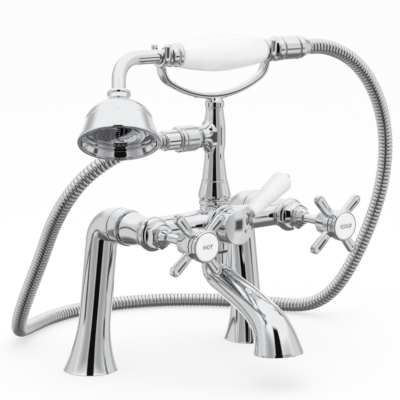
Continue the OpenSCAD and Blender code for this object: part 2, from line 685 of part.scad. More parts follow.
// Column.
module column() color(chrome) difference() {
    union() {
        on_column() turned([[0, seat_z + washer_t], [column_spigot_r, seat_z + washer_t],
            [column_spigot_r, bell_z + push_fit], [column_foot_r, bell_z + push_fit],
            [column_foot_r - 0.2, bell_z + neck_span * 0.05], [column_waist_r, tee_h - neck_span * 0.53],
            [column_waist_r + 0.2, tee_h - neck_span * 0.4], [column_tee_r, tee_h - neck_span * 0.24],
            [column_tee_r, tee_h + top_span * 0.33], [column_tee_r - 0.6, tee_h + top_span * 0.53],
            [column_top_r + 0.3, column_top - top_span * 0.25], [column_top_r, column_top], [0, column_top]]);
        on_outlet() {
            turned([[0, 0], [outlet_r + 1.4, 0], [outlet_r + 1.2, column_tee_r], [outlet_r, column_tee_r + 3],
                [outlet_r, outlet_len - 2.5], [outlet_r + 0.9, outlet_len - 2], [outlet_r + 0.9, outlet_len],
                [0, outlet_len]]);
            bar(stub_r, outlet_len, outlet_len + stub_len);
        }
    }
    on_column() bar(column_bore_r, seat_z, tee_h);
    on_outlet() bar(column_bore_r - 1, 0, outlet_len + stub_len + 1);
    on_column() bar(4, column_top - 6, column_top + 1);
}
module bell_nut() color(chrome) on_column() difference() {
    turned([[0, seat_z], [bell_r - 1.8, seat_z], [bell_r - 0.4, seat_z + 2], [bell_r, seat_z + 4],
        [bell_r - 0.2, seat_z + 6], [column_foot_r + 0.6, bell_z - 1.4], [column_foot_r + 0.6, bell_z - 0.5],
        [column_foot_r + 0.1, bell_z], [0, bell_z]]);
    bar(column_spigot_r + push_fit, seat_z - 1, bell_z + 1);
}
module column_washer() color(rubber) on_column()
    ring(column_spigot_r, column_bore_r, seat_z, seat_z + washer_t);

// Hose outlet fittings.
module hose_nut_base() color(chrome) on_outlet() difference() {
    turned([[0, nut_x0], [outlet_r + 0.6, nut_x0], [hose_nut_r - 0.4, nut_x0 + 5], [hose_nut_r, nut_x0 + 6.4],
        [hose_nut_r, nut_x1 - 5.6], [hose_nut_r - 0.7, nut_x1 - 5], [hose_nut_r - 0.7, nut_x1 - 4.4],
        [hose_nut_r, nut_x1 - 3.8], [hose_nut_r, nut_x1 - 1.4], [hose_nut_r - 1.4, nut_x1], [0, nut_x1]]);
    bar(stub_r + push_fit, nut_x0 - 1, outlet_len + stub_len);
    bar(sleeve_r + 1.2, outlet_len + stub_len - eps, nut_x1 - 4);
    bar(sleeve_r + push_fit, nut_x1 - 5, nut_x1 + 1);
}
module hose_washer_base() color(rubber) on_outlet()
    ring(stub_r, hose_bore_r, outlet_len + stub_len, outlet_len + stub_len + washer_t);
module hose_sleeve_base() color(chrome) on_outlet() difference() {
    union() {
        bar(sleeve_r + 1, outlet_len + stub_len + washer_t, nut_x1 - 4 - push_fit);
        turned([[0, nut_x1 - 6], [sleeve_r, nut_x1 - 6], [sleeve_r, sleeve_x1 - 0.6],
            [sleeve_r - 0.5, sleeve_x1], [0, sleeve_x1]]);
    }
    bar(hose_bore_r, outlet_len, sleeve_x1 + 1);
}

// Cradle.
// Half of the arms' bend line, moved outward by a distance: a wide arc, then a tight one.
function arm_half(off) = concat(
    [for (k = [0:8]) let (a = cradle_mid_a * k / 8)
        [(cradle_mid_r + off) * sin(a), cradle_mid_r - (cradle_mid_r + off) * cos(a)]],
    [for (k = [1:10]) let (a = cradle_mid_a + (90 - cradle_mid_a) * k / 10)
        [cradle_end_x - cradle_end_r + (cradle_end_r + off) * sin(a),
            cradle_end_z - cradle_bar_z - (cradle_end_r + off) * cos(a)]]);
function reversed(p) = [for (i = [len(p) - 1:-1:0]) p[i]];
function mirrored(p) = [for (q = p) [-q[0], q[1]]];
function arm_line(off) = concat(reversed(mirrored(arm_half(off))), [for (i = [1:18]) arm_half(off)[i]]);
module cradle_arms() translate([0, -body_y, cradle_bar_z]) rotate([90, 0, 0])
    linear_extrude(arm_bar_w, center = true)
        polygon(concat(arm_line(arm_bar_t / 2), reversed(arm_line(-arm_bar_t / 2))));
// A fork whose seat is a little wider than the piece that lies in it.
module fork(side, seat_r) {
    r = seat_r + fork_gap;
    w = r + prong_w;
    foot = cradle_end_z - 0.5 - handset_h;
    translate([side * fork_x - fork_t / 2, -body_y, handset_h]) rotate([90, 0, 90]) linear_extrude(fork_t)
        difference() {
            union() {
                polygon([[-arm_bar_w / 2, foot], [arm_bar_w / 2, foot], [w, -r * 0.55],
                    [w + 0.6, prong_rise - 1.5], [-w - 0.6, prong_rise - 1.5], [-w, -r * 0.55]]);
                for (s = [-1, 1]) translate([s * (w + 0.6 - prong_w / 2), prong_rise - 1.5])
                    circle(prong_w / 2);
            }
            circle(r);
            translate([-r, 0]) square([2 * r, prong_rise + 4]);
        }
}
module cradle() color(chrome) {
    on_column() {
        turned([[0, column_top], [cradle_stem_r - 0.6, column_top], [cradle_stem_r, column_top + 0.6],
            [cradle_stem_r, column_top + cradle_stem_h * 0.62],
            [cradle_stem_r - 1, column_top + cradle_stem_h * 0.75],
            [cradle_stem_r - 2.5, column_top + cradle_stem_h + 1], [0, column_top + cradle_stem_h + 1]]);
        bar(4 - push_fit, column_top - 6 + push_fit, column_top + 1);
    }
    cradle_arms();
    fork(-1, tube_r);
    fork(1, rear_neck_r);
}

// Handset.
neck_end_x = grip_x0 - 6;
// Centre line of the neck: straight through the fork, round the bend, straight into the rose.
neck_sides = 32;
neck_steps = 12;
function neck_line() = let (out = [-1, 0, 0], down = [0, -sin(handset_roll), -cos(handset_roll)],
    corner = [-corner_x, -body_y, handset_h], start = corner - neck_tan * out)
    concat([[neck_end_x, -body_y, handset_h]],
        [for (k = [0:neck_steps]) let (a = neck_turn * k / neck_steps)
            start + neck_bend_r * (sin(a) * out + (1 - cos(a)) * down)],
        [corner + (rose_start + 6) * (sin(rose_lean) * out + cos(rose_lean) * down)]);
module neck_tube() color(chrome) {
    p = neck_line();
    hollow_tube(p, [for (q = p) tube_r], p, [for (q = p) tube_bore_r], neck_sides, [0, 1, 0]);
}
plate_z = rose_end - plate_recess;
// Outside of the rose: collar, dome, drawn in waist and flared rim.
function rose_outside() = concat(
    [[rose_collar_r - 1.4, rose_start], [rose_collar_r, rose_start + 1.2], [rose_collar_r, rose_start + 3.4],
        [rose_collar_r - 0.8, rose_start + 4.2], [rose_collar_r - 0.2, rose_start + 5],
        [rose_collar_r + 0.4, rose_start + 8.6]],
    [for (a = [10:10:80]) [rose_collar_r + 0.4 + (dome_r - rose_collar_r - 0.4) * sin(a),
        rose_start + 9 + 19 * (1 - cos(a))]],
    [[dome_r, rose_start + 28], [dome_r + 0.6, rose_start + 31], [dome_r + 2.2, rose_start + 35],
        [rim_r - 1.6, rose_end - 6], [rim_r - 0.4, rose_end - 3], [rim_r, rose_end - 1.4]]);
module rose_shell() color(chrome) on_rose() difference() {
    turned(concat([[0, rose_start]], rose_outside(),
        [[rim_r - 0.5, rose_end - 0.4], [rim_r - rose_wall, rose_end], [0, rose_end]]));
    bar(tube_r, rose_start - 1, rose_start + 6);
    bar(tube_bore_r, rose_start, rose_start + 16);
    turned([[0, rose_start + 12], [rose_collar_r - 2.5, rose_start + 12], [dome_r * 0.7, rose_start + 20],
        [dome_r - rose_wall - 0.6, rose_start + 29], [dome_r - rose_wall, rose_start + 32],
        [dome_r - rose_wall, plate_z - plate_t], [0, plate_z - plate_t]]);
    bar(rim_r - rose_wall - 3, plate_z - plate_t - eps, plate_z);
    turned([[0, plate_z - eps], [rim_r - rose_wall - 1.8, plate_z - eps], [rim_r - rose_wall, rose_end - 2],
        [rim_r - rose_wall, rose_end + 1], [0, rose_end + 1]]);
}
// Ring that holds the spray plate in the rose.
module rose_rim() color(chrome) on_rose() difference() {
    turned([[0, plate_z], [rim_r - rose_wall - 1.8 - push_fit, plate_z],
        [rim_r - rose_wall - push_fit, rose_end - 2], [rim_r - rose_wall - push_fit, rose_end - 0.6],
        [rim_r - rose_wall - 0.6, rose_end], [0, rose_end]]);
    turned([[0, plate_z - 1], [rim_r - rose_wall - 4, plate_z - 1], [rim_r - rose_wall - 4, plate_z + 2],
        [rim_r - rose_wall - 2, rose_end - 2], [rim_r - rose_wall - 1.6, rose_end + 1], [0, rose_end + 1]]);
}
plate_r = rim_r - rose_wall - 3 - push_fit;
module rose_plate() color("gray") on_rose() difference() {
    bar(plate_r, plate_z - plate_t, plate_z);
    for (i = [1:spray_rings], k = [0:6 * i - 1]) rotate([0, 0, 60 * k / i])
        translate([i * (plate_r - 5) / spray_rings, 0, plate_z - plate_t - 1])
            cylinder(r = spray_r, h = plate_t + 2);
}
ferrule_x0 = -fork_x + fork_t / 2 + 1;
module front_ferrule() color(chrome) on_handset() difference() {
    turned([[0, ferrule_x0], [tube_r + 0.8, ferrule_x0], [tube_r + 1, ferrule_x0 + 1.2],
        [tube_r + 2.4, grip_x0 - 9.4], [grip_end_r - 1.6, grip_x0 - 8.6], [grip_end_r - 1, grip_x0 - 7.6],
        [grip_end_r - 0.2, grip_x0 - 1.4], [grip_end_r - 0.6, grip_x0], [0, grip_x0]]);
    bar(tube_r + push_fit, ferrule_x0 - 1, neck_end_x);
    bar(tube_bore_r, neck_end_x - 1, grip_x0 + 1);
}
function grip_points() = [for (k = [0:20]) let (u = k / 20)
    [grip_end_r + (grip_r - grip_end_r) * sin(180 * u) ^ 0.85, grip_x0 + u * (grip_x1 - grip_x0)]];
module grip() color(ceramic) on_handset() difference() {
    turned(concat([[0, grip_x0]], grip_points(), [[0, grip_x1]]));
    bar(core_r + push_fit, grip_x0 - 1, grip_x1 + 1);
}
module core_tube() color(brass) on_handset() ring(core_r, tube_bore_r, grip_x0, grip_x1);
rear_mid_x = fork_x;
module rear_ferrule() color(chrome) on_handset() difference() {
    union() {
        turned([[0, grip_x1], [grip_end_r + 0.2, grip_x1], [grip_end_r + 0.2, grip_x1 + 0.8],
            [rear_neck_r + 0.3, rear_mid_x - fork_t / 2 - 0.6], [rear_neck_r, rear_mid_x - fork_t / 2 - 0.3],
            [rear_neck_r, rear_mid_x + fork_t / 2 + 0.3], [rear_neck_r + 0.4, rear_mid_x + fork_t / 2 + 1.5],
            [set_nut_r - 0.2, rear_end_x - 7.5], [set_nut_r + 0.4, rear_end_x - 6],
            [set_nut_r + 0.4, rear_end_x - 1.6], [set_nut_r - 0.4, rear_end_x], [0, rear_end_x]]);
        bar(stub_r, rear_end_x, rear_end_x + stub_len - 3);
    }
    bar(tube_bore_r, grip_x1 - 1, rear_end_x + stub_len);
}
stub2_end = rear_end_x + stub_len - 3;
module hose_nut_handset() color(chrome) on_handset() difference() {
    turned([[0, rear_end_x + turn_gap], [set_nut_r - 0.7, rear_end_x + turn_gap],
        [set_nut_r, rear_end_x + turn_gap + 0.7], [set_nut_r, nut2_x1 - 0.7],
        [set_nut_r - 0.7, nut2_x1], [0, nut2_x1]]);
    bar(stub_r + push_fit, rear_end_x, stub2_end);
    bar(sleeve_r + 1, stub2_end - eps, nut2_x1 - 2);
    bar(sleeve_r, nut2_x1 - 3, nut2_x1 + 1);
}
module hose_washer_handset() color(rubber) on_handset()
    ring(stub_r, hose_bore_r, stub2_end, stub2_end + washer_t);
module hose_cone() color(chrome) on_handset() difference() {
    turned([[0, stub2_end + washer_t], [sleeve_r + 0.9, stub2_end + washer_t], [sleeve_r + 0.9, nut2_x1 - 2.1],
        [sleeve_r - push_fit, nut2_x1 - 2.1], [sleeve_r - push_fit, cone_x0], [set_nut_r - 0.9, cone_x0],
        [set_nut_r - 0.2, cone_x0 + 0.7], [set_nut_r - 0.2, cone_x0 + 5], [hose_r + 0.8, cone_x1 - 0.8],
        [hose_r + 0.2, cone_x1], [0, cone_x1]]);
    bar(hose_bore_r, stub2_end, cone_x1 + 1);
}

// Hose.
// The hose leaves the handset, drops to the deck, lies behind the legs and climbs to the tee.
// Each station gives its place on the deck and its height, as a share of the height of the hose's end.
hose_drop = [
    [cone_x1 + push_fit, -body_y, 1], [cone_x1 + 8, -body_y, 1], [cone_x1 + 18, -body_y, 1],
    [143, -body_y, 0.981], [168, -59, 0.933], [192, -56, 0.843], [210, -51, 0.731], [220, -45, 0.608], [223, -37, 0.481],
    [219, -29, 0.362], [212, -19, 0.246], [206, -6, 0.142], [201, 11, 0.06], [194, 32, 0.011],
    [185, 56, 0], [171, 83, 0], [151, 111, 0], [123, 137, 0], [88, 158, 0], [48, 169, 0]];
hose_climb = [
    [6, 169, 0], [-36, 156, 0], [-74, 132, 0], [-102, 101, 0.046], [-114, 72, 0.188], [-118, 46, 0.35],
    [-122, 24, 0.482], [-127, 4, 0.604], [-132, -17, 0.701], [-131, -31, 0.782], [-124, -43, 0.863],
    [-111, -53, 0.929], [-92, -59, 0.98], [-sleeve_x1 - 18, -body_y, 1], [-sleeve_x1 - 8, -body_y, 1],
    [-sleeve_x1 - push_fit, -body_y, 1]];
function hung(stations, top) = [for (q = stations) [q[0], q[1], hose_r + q[2] * (top - hose_r)]];
hose_route = padded(concat(hung(hose_drop, handset_h), hung(hose_climb, tee_h)));
hose_sides = 8;
bore_rings = 100;
module hose() color("gainsboro") {
    us = equal_steps(hose_route, 2 * rib_count);
    ui = equal_steps(hose_route, bore_rings);
    hollow_tube(points_at(hose_route, us),
        [for (k = [0:2 * rib_count]) hose_r - (k % 2 == 0 ? rib_depth : 0)],
        points_at(hose_route, ui), [for (k = [0:bore_rings]) hose_bore_r], hose_sides, [0, 1, 0]);
}

leg_hot();
leg_cold();
inlet_insert_hot();
inlet_insert_cold();
union_collar_hot();
union_collar_cold();
union_washer_hot();
union_washer_cold();
bridge_body();
bonnet_hot();
bonnet_cold();
seat_disc_hot();
seat_disc_cold();
diverter_collar();
spout();
spout_washer();
flow_straightener();
column();
bell_nut();
column_washer();
cradle();
hose_nut_base();
hose_washer_base();
hose_sleeve_base();
crosshead_hot();
index_ring_hot();
index_disc_hot();
spindle_hot();
turn_disc_hot();
handle_screw_hot();
crosshead_cold();
index_ring_cold();
index_disc_cold();
spindle_cold();
turn_disc_cold();
handle_screw_cold();
diverter_cap();
lever_neck();
lever_grip();
lever_bead();
diverter_spindle();
diverter_rotor();
rose_shell();
rose_rim();
rose_plate();
neck_tube();
front_ferrule();
grip();
core_tube();
rear_ferrule();
hose_nut_handset();
hose_washer_handset();
hose_cone();
hose();
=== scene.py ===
# %% [markdown]
# # A deck mounted bath shower mixer
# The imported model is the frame: every metal piece already stands where it belongs, in metres.
# This lesson dresses it. Polished metal shows every facet, so most pieces are made again here
# as smooth surfaces of the same sizes, and each one takes the place of its node.

# %% Load the frame
import json
import bmesh
import bpy
import numpy as np
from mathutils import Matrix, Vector


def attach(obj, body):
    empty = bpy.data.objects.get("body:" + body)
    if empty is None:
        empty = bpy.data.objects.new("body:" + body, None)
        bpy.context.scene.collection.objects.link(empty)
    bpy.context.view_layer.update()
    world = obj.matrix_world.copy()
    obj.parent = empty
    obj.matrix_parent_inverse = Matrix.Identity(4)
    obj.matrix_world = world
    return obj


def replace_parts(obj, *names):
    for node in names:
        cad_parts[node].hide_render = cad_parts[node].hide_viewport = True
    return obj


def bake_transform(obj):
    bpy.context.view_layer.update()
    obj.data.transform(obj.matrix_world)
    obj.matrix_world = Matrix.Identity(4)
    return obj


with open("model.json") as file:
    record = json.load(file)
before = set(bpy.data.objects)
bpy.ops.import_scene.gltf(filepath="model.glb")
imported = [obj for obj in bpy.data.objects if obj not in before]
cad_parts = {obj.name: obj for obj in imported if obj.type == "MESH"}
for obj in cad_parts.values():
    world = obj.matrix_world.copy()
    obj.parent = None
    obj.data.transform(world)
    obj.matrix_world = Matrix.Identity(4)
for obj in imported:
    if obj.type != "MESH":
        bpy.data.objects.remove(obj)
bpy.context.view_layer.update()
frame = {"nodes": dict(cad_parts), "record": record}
MM = 0.001

# %% [markdown]
# ## Camera
# The mixer was photographed from its left front, a little above the valves, through a long lens.
# A long lens keeps the two legs nearly parallel, so the camera stands about one and a half metres away.

# %% Camera
camera = bpy.data.objects.new("camera", bpy.data.cameras.new("camera"))
bpy.context.collection.objects.link(camera)
camera.location = (-0.9023, -1.1899, 0.3952)
aim = Vector((0.0312, 0.0, 0.1367)) - camera.location
camera.rotation_euler = aim.to_track_quat("-Z", "Y").to_euler()
camera.data.lens, camera.data.sensor_width, camera.data.clip_end = 153.1, 36.0, 20.0
bpy.context.scene.camera = camera
bpy.context.scene.view_settings.view_transform = "Standard"
print("camera looks along", [round(x, 3) for x in aim.normalized()])

# %% [markdown]
# ## Shader maths as plain expressions
# A finish is a small network of nodes. One class wraps a socket, so that a + b or 1 - mask adds the
# Math node for it, and one method makes any other node from its type, settings and inputs.

# %% Finish helpers
class Value:
    """A number that changes over a surface. Each operator adds one Math node."""

    def __init__(self, finish, socket):
        self.finish, self.socket = finish, socket

    def maths(self, operation, *others):
        values = dict(enumerate((self,) + others))
        return self.finish.value("ShaderNodeMath", dict(operation=operation), values)

    def __add__(self, other):
        return self.maths("ADD", other)

    def __sub__(self, other):
        return self.maths("SUBTRACT", other)

    def __mul__(self, other):
        return self.maths("MULTIPLY", other)

    def __rsub__(self, other):
        return (self * -1.0) + other

    __radd__, __rmul__ = __add__, __mul__

    def power(self, exponent):
        return self.maths("POWER", exponent)


class Finish:
    """One material, or the world, and the nodes that make it."""

    def __init__(self, name, kind="materials"):
        self.material = getattr(bpy.data, kind).new(name)
        self.material.use_nodes = True
        self.tree = self.material.node_tree
        self.tree.nodes.clear()

    def node(self, kind, settings=None, inputs=None, stops=None):
        """Adds a node: its settings first, then its ramp's stops, then its inputs as values or links."""
        made = self.tree.nodes.new(kind)
        for key, setting in (settings or {}).items():
            setattr(made, key, setting)
        if stops:
            ramp = made.color_ramp.elements
            while len(ramp) < len(stops):
                ramp.new(0.5)
            for stop, (place, colour) in zip(ramp, stops):
                stop.position, stop.color = place, colour + (1.0,)
        for key, given in (inputs or {}).items():
            socket = made.inputs[key]
            given = given.socket if isinstance(given, Value) else given
            if isinstance(given, bpy.types.NodeSocket):
                self.tree.links.new(given, socket)
            else:
                socket.default_value = given
        return made

    def value(self, kind, settings=None, inputs=None, output=0):
        return Value(self, self.node(kind, settings, inputs).outputs[output])

    def noise(self, scale, detail=3.0):
        return self.value("ShaderNodeTexNoise", None, {
            "Vector": self.node("ShaderNodeTexCoord").outputs["Object"], "Scale": scale, "Detail": detail,
            "Roughness": 0.55})

    def between(self, mask, dark, light):
        """A colour that goes from one to the other as the mask goes from 0 to 1."""
        return self.node("ShaderNodeValToRGB", None, {"Fac": mask},
                         [(0.0, dark), (1.0, light)]).outputs["Color"]

    def bump(self, height, strength, distance):
        return self.node("ShaderNodeBump", None, {
            "Height": height, "Strength": strength, "Distance": distance}).outputs["Normal"]

    def surface(self, **sockets):
        """The main shader. Underscores in a name stand for the spaces in the socket's own name."""
        shader = self.node("ShaderNodeBsdfPrincipled", None,
                           {key.replace("_", " "): v for key, v in sockets.items()})
        self.node("ShaderNodeOutputMaterial", None, {"Surface": shader.outputs[0]})
        return self.material


# %% [markdown]
# ## Finishes
# Chrome is a thin bright layer on polished brass. It is never quite even: polishing leaves slow
# waves, and drying water leaves patches that are a little less sharp. Both come from noise on the
# object's own coordinates. The grip and the lever are white glazed ceramic, with a soft mottle
# under the glaze. Inside are brass, rubber and the unglazed discs of the valves.

# %% Chrome
def plated(name, dark, light, rough, wave, lines=0.0, grooves=False):
    """Polished plating: colour and gloss follow patches, the bump follows slow polishing waves.
    With the last argument set, the colour falls to near black where the piece's own attribute for its hollows
    is 1: painted shade, not a colour of the metal."""
    f = Finish(name)
    patches, waves, dust = f.noise(46.0), f.noise(70.0, 1.0), f.noise(900.0, 2.0)
    height = waves + dust * 0.04
    if lines:
        height = height + f.noise(260.0, 0.0) * lines
    colour = f.between(patches, dark, light)
    if grooves:
        # Painted shade: the colour goes near black in the hollows between the ribs, where the attribute is 1.
        groove = Value(f, f.node("ShaderNodeAttribute", dict(attribute_name="groove")).outputs["Fac"])
        colour = f.node("ShaderNodeValToRGB", None, {"Fac": (patches * 0.6 + 0.4) * (1.0 - groove)}, [
            (0.0, (0.025, 0.025, 0.027)), (0.4, dark), (1.0, light)]).outputs["Color"]
    return f.surface(Base_Color=colour, Metallic=1.0,
                     Roughness=patches * rough + dust * 0.02 + 0.015,
                     Normal=f.bump(height, wave, 0.0004))


chrome = plated("polished_chrome", (0.80, 0.81, 0.825), (0.90, 0.905, 0.915), 0.05, 0.05)
# The hose's finish paints shade, near black, into the hollows between its ribs.
hose_metal = plated("hose_chrome", (0.74, 0.75, 0.765), (0.88, 0.885, 0.895), 0.32, 0.05, grooves=True)
nut_metal = plated("satin_nut", (0.82, 0.825, 0.83), (0.90, 0.905, 0.91), 0.45, 0.10, 0.4)

# %% Ceramic, brass and rubber
def glazed(name, shade, light, gloss):
    """White glaze: a faint mottle in the colour and a shallow orange peel in the surface."""
    f = Finish(name)
    mottle, peel = f.noise(60.0), f.noise(420.0, 1.0)
    return f.surface(Base_Color=f.between(mottle, shade, light), Roughness=peel * 0.06 + gloss,
                     Normal=f.bump(peel, 0.06, 0.0003), Coat_Weight=0.35, Coat_Roughness=0.05)


def plain(name, dark, light, metallic, rough, scale):
    """Machined or moulded stuff that is mostly hidden: noise in colour, gloss and bump."""
    f = Finish(name)
    grain = f.noise(scale, 4.0)
    return f.surface(Base_Color=f.between(grain, dark, light), Metallic=metallic,
                     Roughness=grain * 0.2 + rough, Normal=f.bump(grain, 0.2, 0.0002))


ceramic = glazed("white_glaze", (0.83, 0.83, 0.825), (0.90, 0.90, 0.895), 0.09)
disc_ceramic = plain("valve_ceramic", (0.78, 0.77, 0.74), (0.86, 0.85, 0.83), 0.0, 0.4, 300.0)
brass = plain("machined_brass", (0.58, 0.42, 0.20), (0.74, 0.58, 0.30), 1.0, 0.2, 240.0)
rubber = plain("washer_rubber", (0.03, 0.03, 0.03), (0.07, 0.07, 0.07), 0.0, 0.6, 500.0)
plate_metal = plated("spray_plate", (0.62, 0.63, 0.65), (0.72, 0.73, 0.75), 0.06, 0.04)
ink = plain("letter_ink", (0.05, 0.05, 0.055), (0.10, 0.10, 0.105), 0.0, 0.45, 800.0)
finishes = {"chrome": chrome, "hose": hose_metal, "ceramic": ceramic, "brass": brass, "rubber": rubber,
            "spray_plate": plate_metal}
print("finishes:", ", ".join(m.name for m in bpy.data.materials))

# %% [markdown]
# ## Surfaces from grids
# A turned piece is a profile carried round an axis, and a tube is a circle carried along a path.
# Both are grids of points, computed as whole arrays. Corners of a profile are rounded a little,
# because a real edge always catches a line of light.

# %% Grid helpers
def grid_faces(rows, columns, wrap_rows, wrap_columns):
    """Quads between neighbouring grid points. A wrapped direction joins its last line to its first."""
    i, j = np.meshgrid(np.arange(rows - (not wrap_rows)), np.arange(columns - (not wrap_columns)),
        indexing="ij")
    k, l = (i + 1) % rows, (j + 1) % columns
    return np.stack([i * columns + j, k * columns + j, k * columns + l, i * columns + l], -1).reshape(-1, 4)


def shell(grid, wrap_rows=False, wrap_columns=True):
    """One closed skin: its points in millimetres and its quads."""
    rows, columns = grid.shape[:2]
    return grid.reshape(-1, 3), grid_faces(rows, columns, wrap_rows, wrap_columns)


def piece(name, shells, material, body, nodes=(), sharp=40.0):
    """Joins skins into one object, closes seams and poles, and hangs it on its body."""
    starts = np.cumsum([0] + [len(p) for p, _ in shells])
    points = np.concatenate([p for p, _ in shells]) * MM
    faces = np.concatenate([f + s for (_, f), s in zip(shells, starts)])
    mesh = bpy.data.meshes.new(name)
    mesh.from_pydata(points.tolist(), [], faces.tolist())
    work = bmesh.new()
    work.from_mesh(mesh)
    bmesh.ops.remove_doubles(work, verts=work.verts, dist=2e-7)
    bmesh.ops.recalc_face_normals(work, faces=work.faces)
    work.to_mesh(mesh)
    work.free()
    mesh.shade_smooth()
    mesh.set_sharp_from_angle(angle=np.radians(sharp))
    made = bpy.data.objects.new(name, mesh)
    bpy.context.collection.objects.link(made)
    mesh.materials.append(material)
    if nodes:
        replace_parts(made, *nodes)
    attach(made, body)
    return made


def unit(v):
    return v / np.linalg.norm(v, axis=-1, keepdims=True)


def rounded(corners, cut=0.4, closed=False, steps=5):
    """Each corner is cut back by its own length on both sides and bridged by a parabola."""
    p = np.array(corners, float)
    cut = np.broadcast_to(np.asarray(cut, float), len(p))
    before, after = p - np.roll(p, 1, 0), np.roll(p, -1, 0) - p
    lb, la = np.linalg.norm(before, axis=1), np.linalg.norm(after, axis=1)
    if not closed:
        lb[0], la[-1] = 1e-9, 1e-9
    c = np.minimum(cut, 0.42 * np.minimum(lb, la))[:, None]
    a, b = p - c * before / np.maximum(lb, 1e-9)[:, None], p + c * after / np.maximum(la, 1e-9)[:, None]
    t = np.linspace(0, 1, steps)[None, :, None]
    bend = (1 - t) ** 2 * a[:, None] + 2 * t * (1 - t) * p[:, None] + t ** 2 * b[:, None]
    near = np.minimum(0.3, 0.2 * np.minimum(lb, la))[:, None]
    lead = a - near * before / np.maximum(lb, 1e-9)[:, None]
    tail = b + near * after / np.maximum(la, 1e-9)[:, None]
    line = np.concatenate([lead[:, None], bend, tail[:, None]], 1)
    return line.reshape(-1, 2) if closed else np.concatenate([p[:1], line[1:-1].reshape(-1, 2), p[-1:]])


def smooth(points, count):
    """A curve that passes through its points with an even change of direction (Catmull and Rom)."""
    p = np.array(points, float)
    p = np.concatenate([2 * p[:1] - p[1:2], p, 2 * p[-1:] - p[-2:-1]])
    u = np.linspace(0, len(p) - 3, count)
    i = np.minimum(u.astype(int), len(p) - 4)
    t = (u - i)[:, None]
    a, b, c, d = p[i], p[i + 1], p[i + 2], p[i + 3]
    return 0.5 * (2 * b + (c - a) * t + (2 * a - 5 * b + 4 * c - d) * t ** 2
                  + (3 * b - a - 3 * c + d) * t ** 3)


def turned(profile, axis, closed=False, around=96, shape=1.0):
    """Carries a profile of radius and height round an axis, given by its foot, direction and side.
    shape multiplies the radius at each angle, so that a section needn't be round."""
    foot, along, side = (np.array(v, float) for v in axis)
    along, angle = unit(along), np.linspace(0, 2 * np.pi, around, endpoint=False)
    side = unit(side - (side @ along) * along)
    spoke = np.cos(angle)[:, None] * side + np.sin(angle)[:, None] * np.cross(along, side)
    profile = np.asarray(profile, float)
    grid = foot + profile[:, None, 1:] * along + (profile[:, :1] * shape)[..., None] * spoke[None]
    return shell(grid, wrap_rows=closed)


def tube(centres, normals, radii, side, closed=True, around=64):
    """Carries a circle through rings, each with its centre, its normal and its radius."""
    normals = unit(np.asarray(normals, float))
    side = np.broadcast_to(np.asarray(side, float), normals.shape)
    first = unit(side - (side * normals).sum(1, keepdims=True) * normals)
    second = np.cross(normals, first)
    angle = np.linspace(0, 2 * np.pi, around, endpoint=False)[None, :, None]
    spoke = np.cos(angle) * first[:, None] + np.sin(angle) * second[:, None]
    return shell(np.asarray(centres)[:, None] + np.asarray(radii)[:, None, None] * spoke, wrap_rows=closed)


def slopes(points):
    """Directions along a line of points."""
    return unit(np.gradient(np.asarray(points, float), axis=0))


# %% [markdown]
# ## Hose
# The hose is a coiled strip of metal: bright ribs with narrow grooves between them. It leaves the
# back of the handset, drops to the deck, lies behind the legs and climbs to the tee. Its route is
# a smooth curve through round numbers, and a ribbed circle is carried along it. Each point knows
# whether it lies in a groove, so that the finish can paint shade there, near black.

# %% Hose
route = np.array([
    [104, -60, 275], [112, -60, 275], [122, -60, 275], [143, -60, 270], [168, -59, 257], [192, -56, 233],
    [210, -51, 203], [220, -45, 170], [223, -37, 136], [219, -29, 104], [212, -19, 73], [206, -6, 45],
    [201, 11, 23], [194, 32, 10], [185, 56, 7], [171, 83, 7], [151, 111, 7], [123, 137, 7], [88, 158, 7],
    [48, 169, 7], [6, 169, 7], [-36, 156, 7], [-74, 132, 7], [-102, 101, 16], [-114, 72, 44], [-118, 46, 76],
    [-122, 24, 102], [-127, 4, 126], [-132, -17, 145], [-131, -31, 161], [-124, -43, 177], [-111, -53, 190],
    [-92, -59, 200], [-74, -60, 204], [-64, -60, 204], [-56, -60, 204]], float)


def spline(points, u):
    """The even cubic curve drawn by its control points, as in the part's source."""
    q = np.concatenate([2 * points[:1] - points[1:2], points, 2 * points[-1:] - points[-2:-1]])
    i = np.minimum(u.astype(int), len(q) - 4)
    t = (u - i)[:, None]
    return ((1 - t) ** 3 * q[i] + (3 * t ** 3 - 6 * t ** 2 + 4) * q[i + 1]
            + (-3 * t ** 3 + 3 * t ** 2 + 3 * t + 1) * q[i + 2] + t ** 3 * q[i + 3]) / 6


def even_steps(points, count):
    """Points at equal steps of length along the curve, and its length."""
    fine = np.linspace(0, len(points) - 1, 6000)
    run = np.concatenate([[0], np.cumsum(np.linalg.norm(np.diff(spline(points, fine), axis=0), axis=1))])
    return spline(points, np.interp(np.linspace(0, run[-1], count), run, fine)), run[-1]


def carried_side(directions, first):
    """A side direction that turns as little as possible along the line."""
    sides = [np.array(first, float)]
    for d in directions:
        sides.append(unit(sides[-1] - (sides[-1] @ d) * d))
    return np.array(sides[1:])


ribs, per_rib = 276, 8
line, hose_length = even_steps(route, ribs * per_rib + 1)
phase = np.arange(len(line)) % per_rib / per_rib
rib = np.sin(np.pi * phase) ** 0.6
radius = 5.75 + 1.14 * rib
directions = slopes(line)
sides = carried_side(directions, (0, 1, 0))
bore_line = line[::-1][::per_rib]
hose = piece("hose_ribbed", [tube(
    np.concatenate([line, bore_line]), np.concatenate([directions, directions[::-1][::per_rib]]),
    np.concatenate([radius, np.full(len(bore_line), 4.0)]),
    np.concatenate([sides, sides[::-1][::per_rib]]), around=20)], hose_metal, "base", ["hose"], 60.0)
# Painted shade: 1 on the narrowest ring of each rib, where the hose finish paints the metal near black.
groove = np.concatenate([phase == 0, np.zeros(len(bore_line))]).repeat(20).astype(np.float32)
hose.data.attributes.new("groove", "FLOAT", "POINT").data.foreach_set("value", groove)
hose.parent = None
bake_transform(hose)
(line[0] * MM).tolist()
hose_length * MM
(line[::4] * MM).tolist()
print("hose length", round(hose_length * MM, 3), "m with", ribs, "ribs")

